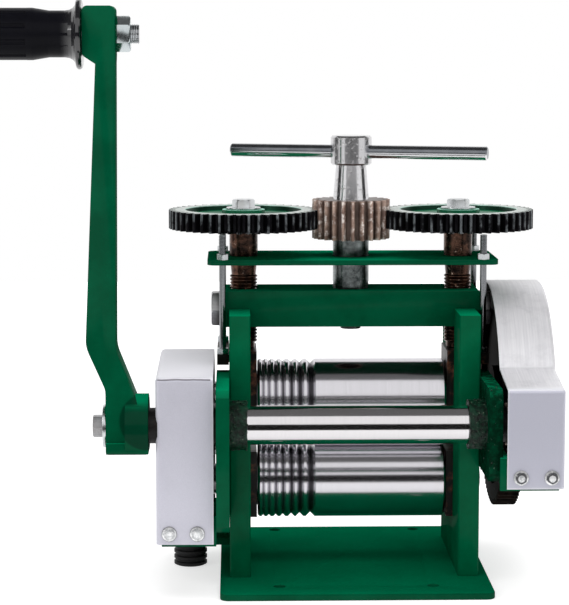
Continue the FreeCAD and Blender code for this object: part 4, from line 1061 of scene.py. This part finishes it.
crumbs_from_radius = 12.6 * MM
crumbs("lug_bushes", density=90000.0, size=0.7 * MM, seed=11)
crumbs("lug_plate_right", density=12000.0, size=0.6 * MM, seed=12)

# %% [markdown]
# ## Studio
# The mill stands on a plain white floor.  The floor could be lit until it is white, but that
# would bleach the mill, so it glows by itself where the camera sees it and keeps the shadow.


# %% Floor
def grey(shade):
    return (shade, shade, shade, 1.0)


def stage_plane(name, corners, material):
    mesh = bpy.data.meshes.new(name)
    mesh.from_pydata(corners, [], [(0, 1, 2, 3)])
    plane = bpy.data.objects.new(name, mesh)
    plane.data.materials.append(material)
    bpy.context.scene.collection.objects.link(plane)
    return plane


def matt_grey(name, shade):
    finish = Finish(name, Roughness=0.9, Specular_IOR_Level=0.0)
    finish.set("Base Color", grey(shade))
    return finish


def floor_material():
    """A matt floor with a glow of its own, stronger to the camera and far from the mill."""
    finish = matt_grey("floor", 0.6)
    x, y, _ = finish.axes()
    away = radius_about(x, y, 0.0, 0.0).ramp(0.5, 1.6)
    seen = finish.mix(away, grey(0.62), grey(1.0))
    camera_ray = finish.node("ShaderNodeLightPath", output="Is Camera Ray")
    finish.set("Emission Color", finish.mix(camera_ray, grey(0.36), seen))
    finish.set("Emission Strength", 1.0)
    return finish.material


floor_half, floor_back_y = 6.0, 1.5
stage_plane("floor", [(-floor_half, -floor_half, 0), (floor_half, -floor_half, 0),
                      (floor_half, floor_back_y, 0), (-floor_half, floor_back_y, 0)],
            floor_material())
print("floor", 2 * floor_half, "m wide")

# %% [markdown]
# Polished rolls are mirrors, so what they show is the studio itself.  Long dark cards in front of
# the mill and above it draw the dark bands that tell the eye that the metal is bright.  They are
# seen in reflections only, as a photographer's cards are kept out of the picture.


# %% Reflection cards
def reflection_card(name, corners, shade):
    """A card that only shows as a reflection in the metal."""
    card = stage_plane(name, corners, matt_grey(name, shade).material)
    card.visible_camera = card.visible_diffuse = card.visible_shadow = False


def facing_card(name, left_x, right_x, y, low_z, high_z):
    """A dark upright card across the front of the mill."""
    reflection_card(name, [(left_x, y, low_z), (right_x, y, low_z),
                           (right_x, y, high_z), (left_x, y, high_z)], card_black)


card_black, ceiling_grey, side_grey = 0.012, 0.14, 0.03
card_half, ceiling_z = 1.9, 1.3
ceiling_front_y, card_back_y = -0.75, 0.9
side_card_x, side_card_front_y, side_card_top = 2.6, -0.5, 1.0
facing_card("front_card", left_x=-card_half, right_x=card_half, y=-2.3, low_z=0.0, high_z=0.52)
facing_card("near_card", left_x=-0.25, right_x=0.40, y=-0.20, low_z=0.05, high_z=0.125)
reflection_card("ceiling_card", [(-card_half, ceiling_front_y, ceiling_z),
                                 (-card_half, card_back_y, ceiling_z),
                                 (card_half, card_back_y, ceiling_z),
                                 (card_half, ceiling_front_y, ceiling_z)], ceiling_grey)
for name, x in (("left_card", -side_card_x), ("right_card", side_card_x)):
    reflection_card(name, [(x, side_card_front_y, 0.0), (x, card_back_y, 0.0),
                           (x, card_back_y, side_card_top),
                           (x, side_card_front_y, side_card_top)], side_grey)

# %% [markdown]
# One broad lamp above gives soft shadows, and smaller ones fill the front and the right side.
# Lamps don't show in the metal, or they would cut white squares out of the rolls, apart from one
# small lamp that puts a glint on rounded edges.


# %% Lamps
def area_lamp(name, place, aim, width, height, power, mirrored=False):
    data = bpy.data.lights.new(name, "AREA")
    data.shape = "RECTANGLE"
    data.size = width
    data.size_y = height
    data.energy = power
    lamp = bpy.data.objects.new(name, data)
    lamp.location = place
    direction = Vector(aim) - Vector(place)
    lamp.rotation_euler = direction.to_track_quat("-Z", "Y").to_euler()
    lamp.visible_glossy = mirrored
    bpy.context.scene.collection.objects.link(lamp)


area_lamp("top_lamp", place=(0.1, -0.15, 1.6), aim=(0, 0, 0.1),
          width=1.8, height=1.4, power=22.0)
area_lamp("front_lamp", place=(-1.1, -1.7, 0.9), aim=(0, 0, 0.15),
          width=0.9, height=0.9, power=6.0)
area_lamp("right_lamp", place=(1.5, -0.9, 0.7), aim=(0, 0, 0.15),
          width=0.6, height=1.0, power=3.0)
area_lamp("glint_lamp", place=(-1.3, -0.8, 0.9), aim=(0, 0, 0.2),
          width=0.25, height=0.5, power=3.0, mirrored=True)
print("lamps:", len(bpy.data.lights))

# %% [markdown]
# The world is the white room round it all.  It is white to the camera and in the metal, and
# softer where it lights the paint, so that pale sheet doesn't clip.

# %% World
world = bpy.data.worlds.new("studio")
world.use_nodes = True
world_tree = world.node_tree
back = world_tree.nodes["Background"]
path = wire(world_tree, "ShaderNodeLightPath")
strength = wire(world_tree, "ShaderNodeMapRange", {},
                {"Value": path.outputs["Is Diffuse Ray"], "To Min": 1.0, "To Max": 0.55})
feed(world_tree, back.inputs["Strength"], strength.outputs[0])
feed(world_tree, back.inputs["Color"], grey(1.0))
bpy.context.scene.world = world
bpy.context.scene.view_settings.view_transform = "Standard"
print("world:", world.name, "shown as", bpy.context.scene.view_settings.view_transform)
